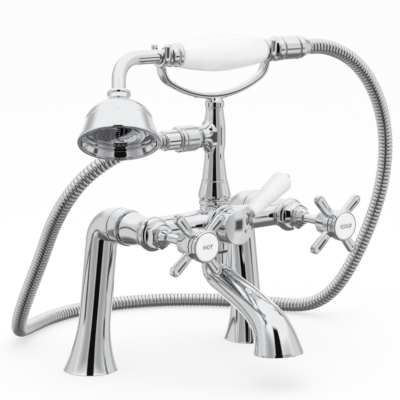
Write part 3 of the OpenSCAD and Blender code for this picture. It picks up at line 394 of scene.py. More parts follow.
# %% [markdown]
# ## Axes
# Every turned piece sits on one of seven axes. An axis has a foot, a direction and a side from
# which angles are counted. They repeat the sizes of the part's source.

# %% Axes
FOOT_X, VALVE_X, VALVE_Z = 90.0, 75.0, 129.0
BODY_Y, TEE_Z, HANDSET_Z = -60.0, 204.0, 275.0


def valve_axis(side):
    return (side * VALVE_X, 0, VALVE_Z), (0, -1, 0), (1, 0, 0)


diverter_axis = (0, 0, VALVE_Z), (0, -1, 0), (1, 0, 0)
column_axis = (0, BODY_Y, 0), (0, 0, 1), (1, 0, 0)
outlet_axis = (0, BODY_Y, TEE_Z), (-1, 0, 0), (0, 1, 0)
handset_axis = (0, BODY_Y, HANDSET_Z), (1, 0, 0), (0, 1, 0)
lean, roll, lift = np.radians(18), np.radians(27), np.radians(33)
rose_way = np.array([-np.sin(lean), -np.cos(lean) * np.sin(roll), -np.cos(lean) * np.cos(roll)])
rose_axis = (-100, BODY_Y, HANDSET_Z), rose_way, (1, 0, 0)
lever_axis = (0, -88.3, VALVE_Z), (np.cos(lift), 0, np.sin(lift)), (0, 1, 0)

# %% [markdown]
# ## Legs and unions
# Each leg is one casting: a flared foot, a leaning pipe and an elbow that ends in the union.
# It is a circle carried along the pipe. The lowest rings lie flat on the deck, and turn square to
# the pipe as they climb.

# %% Legs
def leg(side, name):
    """A circle carried up the foot's flare, the pipe and the elbow, and back down inside as the bore."""
    slant, bend_r = np.arctan((FOOT_X - VALVE_X) / VALVE_Z), 15.5
    length = VALVE_Z / np.cos(slant)
    top = length - bend_r
    up = np.array([-side * np.sin(slant), 0, np.cos(slant)])
    across = np.array([np.cos(slant), 0, side * np.sin(slant)])
    ahead = np.array([0, -1.0, 0])
    foot = np.array([side * FOOT_X, 0, 0])
    h = np.linspace(1.2, 50, 40)
    flare = np.stack([14 + 10.1 * (1 - h / 50) ** 2.2, h], 1)
    pipe = np.stack([np.full(9, 14.0), np.linspace(53, top, 9)], 1)
    low = np.concatenate([[(23.3, 0), (23.7, 0.1), (24.0, 0.45)], flare, pipe])
    turn = np.linspace(0, np.pi / 2, 26)[1:, None]
    bend = foot + up * (top + bend_r * np.sin(turn)) + ahead * bend_r * (1 - np.cos(turn))
    run = np.array([19.0, 22.6, 23.0, 23.0, 30.0, 36.0])[:, None]
    centres = np.concatenate([foot + up * low[:, 1:], bend, foot + up * length + ahead * run])
    tilt = np.clip((low[:, 1:] - 3) / 45, 0, 1)
    normals = np.concatenate([np.array([0, 0, 1.0]) * (1 - tilt) + up * tilt,
                              up * np.cos(turn) + ahead * np.sin(turn), np.repeat(ahead[None], 6, 0)])
    radii = np.concatenate([low[:, 0], np.full(25, 14.0), [14.0, 14.0, 13.6, 11.5, 11.5, 11.5]])
    rise = np.concatenate([[0, 16, 16], np.linspace(30, top, 4)])[:, None]
    bore = np.concatenate([foot + up * rise, bend[::4], (foot + up * length + ahead * 36)[None]])
    bore_normals = np.concatenate([np.repeat([[0, 0, 1.0]], 3, 0), np.repeat(up[None], 4, 0),
                                   up * np.cos(turn[::4]) + ahead * np.sin(turn[::4]), ahead[None]])
    bore_radii = np.concatenate([[12.5, 12.5], np.full(len(bore) - 2, 7.0)])
    return piece(name, [tube(np.concatenate([centres, bore[::-1]]), np.concatenate([normals,
        bore_normals[::-1]]), np.concatenate([radii, bore_radii[::-1]]), across, around=96)], chrome,
        "base")


for side, word in ((-1, "hot"), (1, "cold")):
    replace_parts(leg(side, "leg_casting_" + word), "leg_" + word)
    piece("union_nut_" + word, [turned(rounded([(11.55, 23.3), (15.2, 23.3), (15.9, 24.0), (15.9, 26.2),
        (15.2, 26.8), (15.2, 27.4), (15.7, 27.9), (15.7, 38.6), (14.7, 39.9), (11.55, 39.9)],
        [0.1, 0.4, 0.4, 0.4, 0.25, 0.25, 0.4, 0.9, 0.6, 0.1], True), valve_axis(side), True)], chrome,
        "base", ["union_collar_" + word])
print("legs and unions done")

# %% [markdown]
# ## Bridge body
# The body joins the two valves, the diverter, the spout and the column. On the real one it is a
# single casting, so its barrels run into each other. Here each barrel is a turned skin, and they
# are joined in one object.

# %% Bridge body
def barrel(side):
    sweep = smooth([(14.25, 43.0), (14.2, 44.2), (13.9, 47), (13.4, 50.3), (12.7, 54.5), (12.2, 58.5),
        (12.0, 62)], 40)
    line = np.concatenate([rounded([(7, 38), (11.5, 38), (11.5, 42.0), (13.6, 42.0), (14.2, 42.7)], 0.3),
        sweep[1:], rounded([(12.0, 62.4), (12.0, 63), (12.9, 63.5), (12.9, 65.4), (12.4, 66), (9.5, 66),
        (9.5, 50), (7, 50)], 0.25)])
    return turned(line, valve_axis(side), True)


half = smooth([(12.5, 0), (12.5, 13), (12.2, 18), (11.7, 24), (11.3, 34), (11.05, 46), (11, 60),
    (11, 68.5)], 44)
bridge_line = np.concatenate([[(4.5, -68.5)], half[::-1] * [1, -1], half[1:], [(4.5, 68.5)]])
bridge = turned(bridge_line, ((0, BODY_Y, VALVE_Z), (1, 0, 0), (0, 1, 0)), True)
boss = turned(rounded([(5, 105), (12.2, 105), (13, 105.8), (13, 144.5), (13.8, 145.5), (13.8, 147.9),
    (13, 148.5), (5, 148.5)], [0.1, 0.3, 0.5, 0.7, 0.6, 0.5, 0.3, 0.1], True), column_axis, True)
housing = turned(rounded([(9.5, 60), (16, 60), (16, 72), (16.7, 72.6), (16.7, 74.8), (16, 75.4), (15.4, 76),
    (9.5, 76)], [0.1, 0.1, 0.5, 0.4, 0.4, 0.3, 0.3, 0.1], True), diverter_axis, True)
piece("bridge_casting", [barrel(-1), barrel(1), bridge, boss, housing], chrome, "base", ["bridge_body"])
print("bridge body done")

# %% [markdown]
# ## Bonnets
# A bonnet closes each valve: a ring and a fat bead against the barrel, a hexagon for the spanner, and
# a nose that guides the spindle. The hexagon is a turned profile too. Its radius is the distance of
# the flat over the cosine of the angle from the flat's middle, and a cone cuts its front corners.

# %% Bonnets
def hexagon(flat, low, high, bore, axis):
    """Six flats round an axis, with a cone that takes off the front corners."""
    z = np.concatenate([[low, low], np.linspace(low + 0.1, high - 1.5, 3),
        np.linspace(high - 1.4, high, 15), [high]])
    angle = np.linspace(0, 2 * np.pi, 96, endpoint=False)
    side = flat / np.cos((angle + np.pi / 6) % (np.pi / 3) - np.pi / 6)
    radius = np.minimum(side[None], (flat / np.cos(np.pi / 6) + 1.7 * (high - 1.1 - z))[:, None])
    radius[[0, -1]] = bore
    return turned(np.stack([np.ones(len(z)), z], 1), axis, True, shape=radius)


for side, word in ((-1, "hot"), (1, "cold")):
    axis = valve_axis(side)
    bead = smooth([(12.5, 68.6), (13.5, 69.3), (14.6, 71), (14.9, 72.8), (14.3, 74.8), (12.9, 76.4),
        (11.9, 77)], 30)
    piece("bonnet_bead_" + word, [turned(np.concatenate([rounded([(4.06, 62), (9.4, 62), (9.4, 66.05),
        (12.8, 66.05), (13.2, 66.5), (13.2, 67.6), (12.2, 68.1), (12.2, 68.5)], 0.25), bead, [(11.5, 77.2),
        (4.06, 77.2)]]), axis, True), hexagon(10.2, 77.1, 85.8, 4.06, axis), turned(rounded([(4.06, 85.7),
        (8.6, 85.7), (9.0, 86.2), (9.0, 87.8), (7.4, 88.6), (6.9, 90.4), (5.4, 94.4), (4.8, 95),
        (4.06, 95)], [0.1, 0.2, 0.3, 0.4, 0.5, 0.5, 0.6, 0.3, 0.1], True), axis, True)], chrome, "base",
        ["bonnet_" + word], sharp=25.0)
print("bonnets done")

# %% [markdown]
# ## Cross handles
# A handle has a hub, a ring that holds the white index disc, and four arms like small paddles.
# An arm is a rounded box whose width grows towards its tip, with a shallow hollow along its front.
# The tip closes in a half circle. The disc says only hot or cold, in plain capitals.

# %% Handle arms
def arm(side, angle):
    """A rounded box section carried outward. x runs along the arm, a goes round the section."""
    x = np.concatenate([[5.0], np.linspace(5, 29, 26), 29 + 5 * np.sin(np.linspace(0, np.pi / 2, 14))[1:],
        [34.0]])
    a = np.linspace(0, 2 * np.pi, 56, endpoint=False)
    tip = np.clip((x - 29) / 5, 0, 1)
    wide = (3.5 + 0.9 * (x - 6.6) / 22.4) * np.sqrt(np.clip(1 - tip ** 2, 0, 1))
    thick = 3.1 * (1 - 0.35 * tip ** 4)
    wide[[0, -1]], thick[[0, -1]] = 0, 0
    c, s = np.cos(a), np.sin(a)
    across = np.sign(c) * np.abs(c) ** 0.45
    depth = np.sign(s) * np.abs(s) ** 0.45
    hollow = np.clip((x - 13) / 4, 0, 1) * np.clip((33 - x) / 4, 0, 1)
    dip = np.clip(depth, 0, 1)[None] * (1 - across ** 2)[None] * hollow[:, None]
    out = depth[None] * thick[:, None] - 1.0 * dip
    u, w = np.array([np.cos(angle), 0, np.sin(angle)]), np.array([-np.sin(angle), 0, np.cos(angle)])
    foot = np.array([side * VALVE_X, -132.5, VALVE_Z])
    grid = foot + x[:, None, None] * u + (wide[:, None] * across[None])[..., None] * w
    return shell(grid + out[..., None] * np.array([0, -1.0, 0]))


def lettering(word, name, side, body):
    """A plain word, made a mesh and laid on the disc's crown."""
    curve = bpy.data.curves.new(name, "FONT")
    curve.body, curve.align_x, curve.align_y = word, "CENTER", "CENTER"
    curve.size, curve.extrude, curve.resolution_u = 0.0046, 0.00012, 3
    made = bpy.data.objects.new(name, curve)
    bpy.context.collection.objects.link(made)
    shape = bpy.data.meshes.new_from_object(made.evaluated_get(bpy.context.evaluated_depsgraph_get()))
    bpy.data.objects.remove(made)
    flat = np.empty(len(shape.vertices) * 3)
    shape.vertices.foreach_get("co", flat)
    flat = flat.reshape(-1, 3)
    crown = 0.146 - 0.9 * (flat[:, 0] ** 2 + flat[:, 1] ** 2) / 0.0116 * 0.01
    laid = np.stack([side * VALVE_X * MM + flat[:, 0], -crown - flat[:, 2], VALVE_Z * MM + flat[:, 1]], 1)
    shape.vertices.foreach_set("co", laid.ravel())
    shape.materials.append(ink)
    made = bpy.data.objects.new(name, shape)
    bpy.context.collection.objects.link(made)
    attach(made, body)


for side, word in ((-1, "hot"), (1, "cold")):
    body, axis = word + "_handle", valve_axis(side)
    hub = turned(rounded([(4, 116.6), (9.4, 116.6), (11.0, 118.4), (12.3, 128), (12.4, 135.0), (11.6, 135.6),
                          (11.6, 136.4), (13.0, 137.0), (13.2, 139), (5, 139), (5, 130.5), (4, 128.5)],
                         [0.2, 1.0, 1.4, 4.0, 0.4, 0.25, 0.25, 0.4, 0.2, 0.1, 0.1, 0.1], True), axis, True)
    piece("handle_cross_" + word, [hub] + [arm(side, np.radians(40 + 90 * k)) for k in range(4)], chrome,
        body, ["crosshead_" + word])
    piece("disc_ring_" + word, [turned(rounded([(5.2, 139), (13.2, 139), (13.2, 140.4), (12.6, 140.9),
        (12.6, 141.5), (13.2, 142), (13.2, 144), (12.4, 145), (11.65, 145), (11.65, 140), (5.2, 140)],
        [0.1, 0.2, 0.3, 0.2, 0.2, 0.3, 0.6, 0.3, 0.1, 0.1, 0.1], True), axis, True)], chrome, body,
        ["index_ring_" + word])
    r = np.linspace(11.0, 0, 14)
    crown = np.stack([r, 146 - 0.9 * (r / 11.6) ** 2], 1)
    piece("disc_glazed_" + word, [turned(np.concatenate([
        rounded([(0, 140), (11.6, 140), (11.6, 144.7), (11.0, 145.19)], 0.3), crown[1:]]), axis)],
        ceramic, body, ["index_disc_" + word])
    lettering(word.upper(), "word_" + word, side, body)
print("handles done")

# %% [markdown]
# ## Diverter
# A turning cap on a fixed collar. A thin metal neck leaves the cap at its side and carries a white
# lever that swells towards its end, where a small bead closes it.

# %% Diverter
piece("diverter_ring", [turned(rounded([(4.06, 69.5), (9.45, 69.5), (9.45, 76), (14.4, 76), (14.4, 77.2),
    (16, 78), (16, 81.5), (15.2, 82.5), (4.06, 82.5)], [0.1, 0.2, 0.1, 0.1, 0.2, 0.5, 0.6, 0.5, 0.1], True),
    diverter_axis, True)], chrome, "base", ["diverter_collar"])
r = np.linspace(14.2, 0, 16)
piece("diverter_knob", [turned(np.concatenate([rounded([
    (0, 91.3), (4, 91.3), (4, 82.8), (15.0, 82.8), (15.6, 83.4), (15.6, 93.6), (14.9, 94.5), (14.2, 94.62)],
    [0, 0.1, 0.1, 0.4, 0.5, 0.7, 0.4, 0]), np.stack([r, 96.2 - 1.58 * (r / 14.2) ** 2], 1)[1:]]),
    diverter_axis)], chrome, "diverter", ["diverter_cap"])
piece("lever_stem", [turned(rounded([(0, 7), (3.4, 7), (3.4, 15.8), (5.2, 16.4), (5.2, 17.4), (4.4, 17.9),
    (4.4, 18.4), (5.6, 18.9), (5.6, 20), (3.4, 20), (3.4, 34), (0, 34)],
    [0, 0.2, 0.5, 0.4, 0.4, 0.25, 0.25, 0.4, 0.2, 0.1, 0.2, 0]), lever_axis)], chrome, "diverter",
    ["lever_neck"])
u = np.linspace(0, 1, 40)
swell = np.stack([5.6 + 4.0 * u ** 0.85, 20 + u * 40.92], 1)
a = np.radians(np.linspace(0, 90, 20))[1:]
end = np.stack([3 + 6.6 * np.cos(a), 67.5 - 6.58 * (1 - np.sin(a))], 1)
piece("lever_handle", [turned(np.concatenate([[(3.45, 20.05), (5.2, 20.05)], swell[1:], end, [(1.8, 67.5),
    (1.8, 62.5), (0, 62.5), (0, 34.05), (3.45, 34.05)]]), lever_axis, True)], ceramic, "diverter",
    ["lever_grip"])
a = np.radians(np.linspace(0, 90, 12))
piece("lever_tip_bead", [turned(np.concatenate([[(0, 62.6), (1.75, 62.6), (1.75, 67.5), (2.8, 67.5)],
    np.stack([3 * np.cos(a), 68.2 + 2.9 * np.sin(a)], 1)]), lever_axis)], chrome, "diverter",
    ["lever_bead"])
print("diverter done")

# %% [markdown]
# ## Spout
# The spout leaves the body downward, runs forward and ends in a wide mouth that looks down. It is
# a circle carried along a curve, and its radius grows towards the mouth. The last rings turn level,
# so that the mouth lies flat, and the lip is rounded.

# %% Spout
shares = np.array([[0, 0], [0, .085], [0, .17], [.03, .247], [.087, .304], [.171, .33], [.324, .405],
    [.54, .488], [.766, .624], [.939, .783], [1, 1]])
spout_line, spout_length = even_steps(np.stack([0 * shares[:, 0], -60 - 87 * shares[:, 0],
    103 - 71 * shares[:, 1]], 1), 120)
u = np.linspace(0, 1, 120)
swelling = 9.4 * np.clip((u - 0.23) / 0.77, 0, 1) ** 3.2
spout_radius = 11.5 + 0.6 * np.sin(np.radians(90 * np.minimum(1.2 * u, 1))) + swelling
spout_radius[-1] -= 0.5
way = slopes(spout_line)
way[0] = (0, 0, -1)
level = np.clip((u - 0.7) / 0.3, 0, 1)[:, None] ** 2
way = unit(way * (1 - level) + np.array([0, -0.08, -1.0]) * level)
spout_line += np.array([0, 0.9, -2.2]) * level
inside = np.arange(119, -1, -3)
piece("spout_tube", [tube(
    np.concatenate([spout_line, spout_line[-1:], spout_line[inside[1:]]]),
    np.concatenate([way, way[-1:], way[inside[1:]]]),
    np.concatenate([spout_radius, [19.6], spout_radius[inside[1:]] - 2.5]), (1, 0, 0), around=96)],
    chrome, "base", ["spout"])
print("spout length", round(spout_length), "mm")

# %% [markdown]
# ## Column, bell nut and tee
# The column stands on a bell shaped nut, narrows, and swells where the hose outlet leaves it.
# The outlet is a second turned skin in the same object. Its root is stretched upright, which makes
# the fillets above and below it.

# %% Column
stem = smooth([(11, 166.05), (10.8, 168), (10.3, 172), (9.6, 178), (8.8, 184), (8.6, 188), (8.9, 192),
    (9.5, 196), (9.6, 200), (9.6, 208), (9.5, 212), (9.0, 217), (8.2, 222), (7.8, 225.5), (7.6, 228.2)], 70)
post = turned(np.concatenate([[(5, 150.5), (9.4, 150.5), (9.4, 166.05)], stem, [(7.4, 228.5), (4, 228.5),
    (4, 222.5), (5, 222.5), (5, 204)]]), column_axis, True)
outlet_line = np.concatenate([[(4, 0), (8.7, 0)], np.stack([np.full(24, 8.7), np.linspace(4, 14, 24)], 1),
    rounded([(8.7, 14.2), (8.7, 15), (9.3, 15.4), (9.3, 17.5), (6.2, 17.5), (6.2, 28.5), (4, 28.5)], 0.3)])
spread = np.where(outlet_line[:, 0] > 8.6, 0.5 * np.clip((14 - outlet_line[:, 1]) / 4.6, 0, 1.1) ** 2, 0)
upright = np.sin(np.linspace(0, 2 * np.pi, 96, endpoint=False)) ** 2
side_arm = turned(outlet_line, outlet_axis, True, shape=1 + spread[:, None] * upright[None])
piece("column_post", [post, side_arm], chrome, "base", ["column"])
bell = smooth([(14.0, 150.7), (14.3, 152.5), (14.1, 154.5), (13.4, 157.5), (12.5, 161), (11.9, 163.4),
    (11.6, 164.6)], 30)
piece("bell", [turned(np.concatenate([rounded([(9.45, 148.5), (12.5, 148.5), (13.6, 149.8)], 0.4), bell,
    rounded([(11.6, 164.8), (11.6, 165.5), (11.1, 166), (9.45, 166)], 0.3)]), column_axis, True)], chrome,
    "base", ["bell_nut"])
print("column done")

# %% [markdown]
# ## Hose fittings
# A nut on each end of the hose holds a plain sleeve against a washer. They are turned pieces with
# fine grooves and softly broken edges.

# %% Hose fittings
piece("outlet_nut", [turned(rounded([(6.25, 17.55), (8.0, 17.55), (10.8, 22.5), (11.2, 23.9), (11.2, 35.9),
    (10.5, 36.5), (10.5, 37.1), (11.2, 37.7), (11.2, 40.1), (9.8, 41.5), (7.25, 41.5), (7.25, 37.5),
    (8.4, 37.5), (8.4, 28.5), (6.25, 28.5)], [0.1, 0.6, 1.0, 0.8, 0.4, 0.2, 0.2, 0.4, 0.7, 0.6, 0.1, 0.1,
    0.1, 0.1, 0.1], True), outlet_axis, True)], nut_metal, "base", ["hose_nut_base"])
piece("outlet_sleeve", [turned(rounded([(4, 30.5), (8.2, 30.5), (8.2, 37.45), (7.2, 37.45), (7.2, 41.6),
    (8.4, 41.8), (8.7, 42.4), (8.7, 54.6), (8.0, 56), (4, 56)],
    [0.1, 0.1, 0.1, 0.1, 0.1, 0.2, 0.3, 0.7, 0.4, 0.1], True), outlet_axis, True)], chrome, "base",
    ["hose_sleeve_base"])
piece("handset_nut", [turned(rounded([(6.25, 72.3), (9.8, 72.3), (10.5, 73), (10.5, 88.6), (9.8, 89.3),
    (7.2, 89.3), (7.2, 87.3), (8.2, 87.3), (8.2, 80), (6.25, 80)],
    [0.1, 0.4, 0.5, 0.5, 0.4, 0.1, 0.1, 0.1, 0.1, 0.1], True), handset_axis, True)], chrome, "handset",
    ["hose_nut_handset"])
piece("handset_cone", [turned(rounded([(4, 82), (8.1, 82), (8.1, 87.2), (7.15, 87.2), (7.15, 90.1),
    (9.6, 90.1), (10.3, 90.8), (10.3, 95.1), (7.8, 103.2), (7.2, 104), (4, 104)],
    [0.1, 0.1, 0.1, 0.1, 0.1, 0.4, 0.5, 1.6, 0.5, 0.3, 0.1], True), handset_axis, True)], chrome, "handset",
    ["hose_cone"])
print("fittings done")

# %% [markdown]
# ## Cradle
# Two flat arms sweep out from the column's top and end in forks that hold the handset. The arms
# are a rounded bar carried along two arcs, and each fork is the same kind of bar bent to a U,
# with a web under it. A fillet joins the arms to the stem.

# %% Cradle
def bar_section(half_width, half_height, count=40, power=0.5):
    """A rounded rectangle: a circle whose cosine and sine are pushed out to the corners."""
    a = np.linspace(0, 2 * np.pi, count, endpoint=False)
    c, s = np.cos(a), np.sin(a)
    return np.stack([half_width * np.sign(c) * np.abs(c) ** power,
        half_height * np.sign(s) * np.abs(s) ** power], 1)


def carried_bar(path, across, section, scale):
    """Carries a section along a path: first coordinate across, second square to path and across."""
    path, way = np.asarray(path, float), slopes(path)
    across = np.array(across, float)
    third = unit(np.cross(way, across))
    grid = (path[:, None] + section[None, :, :1] * scale[:, None, None] * across
            + section[None, :, 1:] * scale[:, None, None] * third[:, None])
    return shell(grid)


def with_ends(path, reach=1.6, steps=7):
    """Adds rounded ends: the path runs on a little while the section shrinks to a point."""
    a = np.linspace(0, np.pi / 2, steps)[1:, None]
    first, last = unit(path[0] - path[1]), unit(path[-1] - path[-2])
    line = np.concatenate([(path[0] + reach * np.sin(a) * first)[::-1], path,
        path[-1] + reach * np.sin(a) * last])
    scale = np.concatenate([np.cos(a[::-1, 0]), np.ones(len(path)), np.cos(a[:, 0])])
    return line, np.maximum(scale, 0)


mid = np.radians(np.linspace(0, 30, 20))
end = np.radians(np.linspace(30, 90, 20))[1:]
half_arm = np.concatenate([np.stack([96 * np.sin(mid), 96 - 96 * np.cos(mid)], 1),
                           np.stack([39.5 + 17 * np.sin(end), 27.584 - 17 * np.cos(end)], 1)])
arm_line = np.concatenate([half_arm[::-1] * [-1, 1], half_arm[1:]])
arm_path = np.stack([arm_line[:, 0], np.full(len(arm_line), -60.0), 238.7 + arm_line[:, 1]], 1)
line, scale = with_ends(arm_path, 1.0)
arms = carried_bar(line, (0, 1, 0), bar_section(4.5, 2.6), scale)


def fork(x, seat):
    """A bar bent to a U round the handset, and the web that joins it to the arm."""
    r = seat + 0.3 + 1.8
    a = np.radians(np.linspace(180, 360, 40))
    rise = np.linspace(8.0, 0, 8)[:-1]
    y = np.concatenate([np.full(7, -r) - 0.06 * rise, r * np.cos(a), np.full(7, r) + 0.06 * rise[::-1]])
    z = np.concatenate([rise, r * np.sin(a), rise[::-1]])
    line, scale = with_ends(np.stack([np.full(len(y), x), -60 + y, 275 + z], 1), 1.9)
    low, high = 265.8 - 275, -r + 0.4
    web_z = np.concatenate([[low - 1], np.linspace(low - 1, high, 12), [high]])
    t = np.clip((web_z - low) / (high - low), 0, 1)
    wide = 3.6 + (0.55 * r - 3.6) * t
    wide[[0, -1]] = 0
    section = bar_section(1.0, 1.0, 40, 0.45)
    web = np.stack([np.full(len(web_z), x), np.full(len(web_z), -60.0), 275 + web_z], 1)[:, None] + np.stack([
        section[None, :, 1] * np.where(wide > 0, 2.6, 0)[:, None], section[None, :, 0] * wide[:, None],
        np.zeros((len(web_z), len(section)))], -1)
    return [carried_bar(line, (1, 0, 0), bar_section(3.0, 1.8), scale), shell(web)]


z = np.linspace(231.5, 238.2, 24)
t = np.clip((z - 232.5) / 5.7, 0, 1)
wide = np.concatenate([[0], 5.4 + 1.6 * t + 14.5 * t ** 3, [0]])
z = np.concatenate([z[:1], z, z[-1:]])
section = bar_section(1.0, 1.0, 48, 0.6)
fillet = shell(np.stack([section[None, :, 0] * wide[:, None],
                         -60 + section[None, :, 1] * np.where(wide > 0, 4.3, 0)[:, None],
                         np.repeat(z[:, None], 48, 1)], -1))
socket = turned(rounded([(0, 222.55), (3.95, 222.55), (3.95, 228.5), (7.8, 228.5), (8.4, 229.1),
    (8.4, 233.5), (7.4, 234.5), (5.9, 237.5), (0, 237.5)], [0, 0.2, 0.1, 0.4, 0.4, 0.8, 0.8, 0.6, 0]),
    column_axis)
piece("cradle_arms", [arms, fillet, socket] + fork(-57, 6.0) + fork(57, 7.6), chrome, "base", ["cradle"])
print("cradle done")

# %% [markdown]
# ## Handset
# A bent tube carries the rose at one end and the ceramic grip at the other, with turned ferrules
# between. The rose is a bell with a collar, a dome, a waist and a flared rim. A slightly domed plate
# lies deep inside it, with rings of small nozzles that are copies of one half sphere.

# %% Neck and rose
turn = np.radians(np.linspace(0, 72, 26))[:, None]
down = np.array([0, -np.sin(roll), -np.cos(roll)])
start = np.array([-81.11, -60, 275])
neck_bend = start + 26 * (np.sin(turn) * [-1, 0, 0] + (1 - np.cos(turn)) * down)
neck_way = np.cos(turn) * [-1, 0, 0] + np.sin(turn) * down
straight = np.linspace(-45, -81, 8)[:, None] * [1, 0, 0] + [0, -60, 275]
last = np.array([-100, -60, 275]) + np.linspace(20, 35.5, 5)[:, None] * rose_way
centres = np.concatenate([straight, neck_bend, last])
ways = np.concatenate([np.repeat([[-1.0, 0, 0]], 8, 0), neck_way, np.repeat(rose_way[None], 5, 0)])
square = np.cross([-1.0, 0, 0], down)
piece("neck_pipe", [tube(np.concatenate([centres, centres[::-1]]), np.concatenate([ways, ways[::-1]]),
                         np.concatenate([np.full(39, 6.0), np.full(39, 4.0)]), square, around=64)],
      chrome, "handset", ["neck_tube"])

collar = rounded([(6, 29.5), (8.3, 29.5), (9.7, 30.7), (9.7, 32.9), (8.9, 33.7), (9.5, 34.5)],
                 [0.1, 0.5, 0.6, 0.5, 0.3, 0.3])
dome = smooth([(9.6, 35), (9.9, 36.5), (11.4, 38.8), (14.6, 41.2), (18.6, 43.8), (22.6, 46.9), (25.6, 50.6),
    (27.2, 54.2), (27.6, 56.6)], 60)
waist = smooth([(27.5, 57.1), (27.9, 58.2), (28.7, 60.6), (30.0, 64.4), (32.1, 70), (33.3, 73),
    (33.65, 74.5)], 40)
inner = rounded([(33.4, 75.5), (32.7, 76), (32.1, 75.8), (32.1, 74), (30.3, 68), (29.1, 68), (29.1, 66.4),
    (26.2, 66.4), (26.2, 61.5), (25.6, 58.5), (19.5, 49.5), (7.2, 41.5), (4, 41.5), (4, 35.5), (6, 35.5)],
    0.2)
piece("rose_bell", [turned(np.concatenate([collar, dome[1:], waist, inner]), rose_axis,
                           True, 128)], chrome, "handset", ["rose_shell"])
piece("rose_lip", [turned(rounded([(30.25, 68), (32.05, 74), (32.05, 75.4), (31.5, 76), (30.5, 76),
    (30.1, 74), (28.1, 70), (28.1, 68)], [0.1, 0.2, 0.2, 0.3, 0.3, 0.6, 0.6, 0.1], True), rose_axis, True,
    128)], chrome, "handset", ["rose_rim"])
r = np.linspace(28.9, 0, 40)
face = np.stack([r, 70.2 - 2.4 * (r / 28.9) ** 2], 1)
face[:, 1] += 0.35 * np.exp(-((r - 20.5) / 0.45) ** 2)
plate = turned(np.concatenate([[(0, 66.6), (28.9, 66.6)], face]), rose_axis, around=128)
count = np.array([6, 12, 18, 24, 30])
ring = np.repeat(np.arange(5), count)
spin = (np.arange(count.sum()) - np.repeat(np.cumsum(count) - count, count)) / count[ring] * 2 * np.pi
reach = 3.6 + 3.6 * ring
rise, turn = np.meshgrid(np.linspace(0, np.pi / 2, 4), np.linspace(0, 2 * np.pi, 8, endpoint=False),
    indexing="ij")
along = unit(rose_way)
first = unit(np.array([1.0, 0, 0]) - along[0] * along)
second = np.cross(along, first)
middle = (np.array(rose_axis[0]) + (70.15 - 2.4 * (reach / 28.9) ** 2)[:, None] * along
          + reach[:, None] * (np.cos(spin)[:, None] * first + np.sin(spin)[:, None] * second))
nub = 0.55 * (np.cos(rise)[..., None] * (np.cos(turn)[..., None] * first + np.sin(turn)[..., None] * second)
              + 0.8 * np.sin(rise)[..., None] * along)
nubs = (middle[:, None, None] + nub[None]).reshape(-1, 3)
nub_faces = (grid_faces(4, 8, False, True)[None] + 32 * np.arange(len(middle))[:, None, None]).reshape(-1, 4)
piece("spray_face", [plate, (nubs, nub_faces)], plate_metal, "handset", ["rose_plate"])
print("rose done")

# %% Grip and ferrules
piece("front_collar", [turned(rounded([(6.05, -53), (7.2, -53), (7.5, -51.6), (9.0, -50.2), (9.6, -49),
    (9.7, -44.6), (9.1, -44), (9.1, -43.4), (10, -42.8), (10.2, -40.4), (9.8, -39), (4, -39), (4, -45),
    (6.05, -45)], [0.1, 0.3, 0.5, 0.8, 0.8, 0.4, 0.25, 0.25, 0.4, 0.6, 0.4, 0.1, 0.1, 0.1], True),
    handset_axis, True)], chrome, "handset", ["front_ferrule"])
u = np.linspace(0, 1, 70)
grip_line = np.stack([10.3 + 5.77 * np.sin(np.pi * u) ** 0.85, -39 + 91 * u], 1)
piece("grip_glazed", [turned(np.concatenate([[(6.95, -39), (9.9, -39)], grip_line[1:-1], [(9.9, 52),
    (6.95, 52)]]), handset_axis, True)], ceramic, "handset", ["grip"])
piece("rear_collar", [turned(rounded([(4, 52), (10.5, 52), (10.5, 52.8), (7.9, 53.4), (7.6, 53.9),
    (7.6, 60.3), (8.0, 61.5), (10.3, 64.5), (10.9, 66), (10.9, 70.4), (10.1, 72), (6.2, 72), (6.2, 80),
    (4, 80)], [0.1, 0.2, 0.3, 0.3, 0.3, 0.6, 0.8, 0.8, 0.6, 0.6, 0.4, 0.1, 0.2, 0.1], True), handset_axis,
    True)], chrome, "handset", ["rear_ferrule"])
print("handset done")

# %% [markdown]
# ## Nodes that stay
# The spindles, the flow straightener and everything inside keep their own solids, because plain rods
# and discs are right as they are. Each only needs its finish.

# %% Finishes for the remaining nodes
slots = {entry["node"]: entry["material_slot"] for entry in frame["record"]["subparts"]}
for name, node in frame["nodes"].items():
    material = finishes[slots[name]]
    if name.startswith(("seat_disc", "turn_disc", "diverter_rotor")):
        material = disc_ceramic
    node.data.materials.clear()
    node.data.materials.append(material)
print("dressed", len(frame["nodes"]), "nodes")

# %% [markdown]
# ## Studio
# Bright metal shows the room. The room here is white, with a white floor, so the metal is white too.
# What the metal reflects is worked out from the direction of the ray: a black strip on the camera's
# side, greys beside it, a narrow dark band on both sides, white above and dark below.

# %% Studio
f = Finish("floor_white")
shade = f.noise(3.0, 2.0)
floor_finish = f.surface(Base_Color=f.between(shade, (0.985, 0.985, 0.985), (1.0, 1.0, 1.0)), Roughness=0.9,
                         Specular_IOR_Level=0.0)
# For the camera, the floor is a mix of its lit surface and plain white, which keeps the shadow.
outlet = next(n for n in f.tree.nodes if n.type == "OUTPUT_MATERIAL")
matt = outlet.inputs["Surface"].links[0].from_socket
glow = f.node("ShaderNodeEmission", None, {"Color": (1.0, 1.0, 1.0, 1.0), "Strength": 1.0}).outputs[0]
seen_directly = Value(f, f.node("ShaderNodeLightPath").outputs["Is Camera Ray"])
blend = f.node("ShaderNodeMixShader", None, {0: (seen_directly * 0.55).socket, 1: matt, 2: glow})
f.tree.links.new(blend.outputs[0], outlet.inputs["Surface"])
mesh = bpy.data.meshes.new("floor")
mesh.from_pydata([(-6, -6, 0), (6, -6, 0), (6, 6, 0), (-6, 6, 0)], [], [(0, 1, 2, 3)])
mesh.materials.append(floor_finish)
floor = bpy.data.objects.new("floor", mesh)
bpy.context.collection.objects.link(floor)
floor.visible_glossy = False

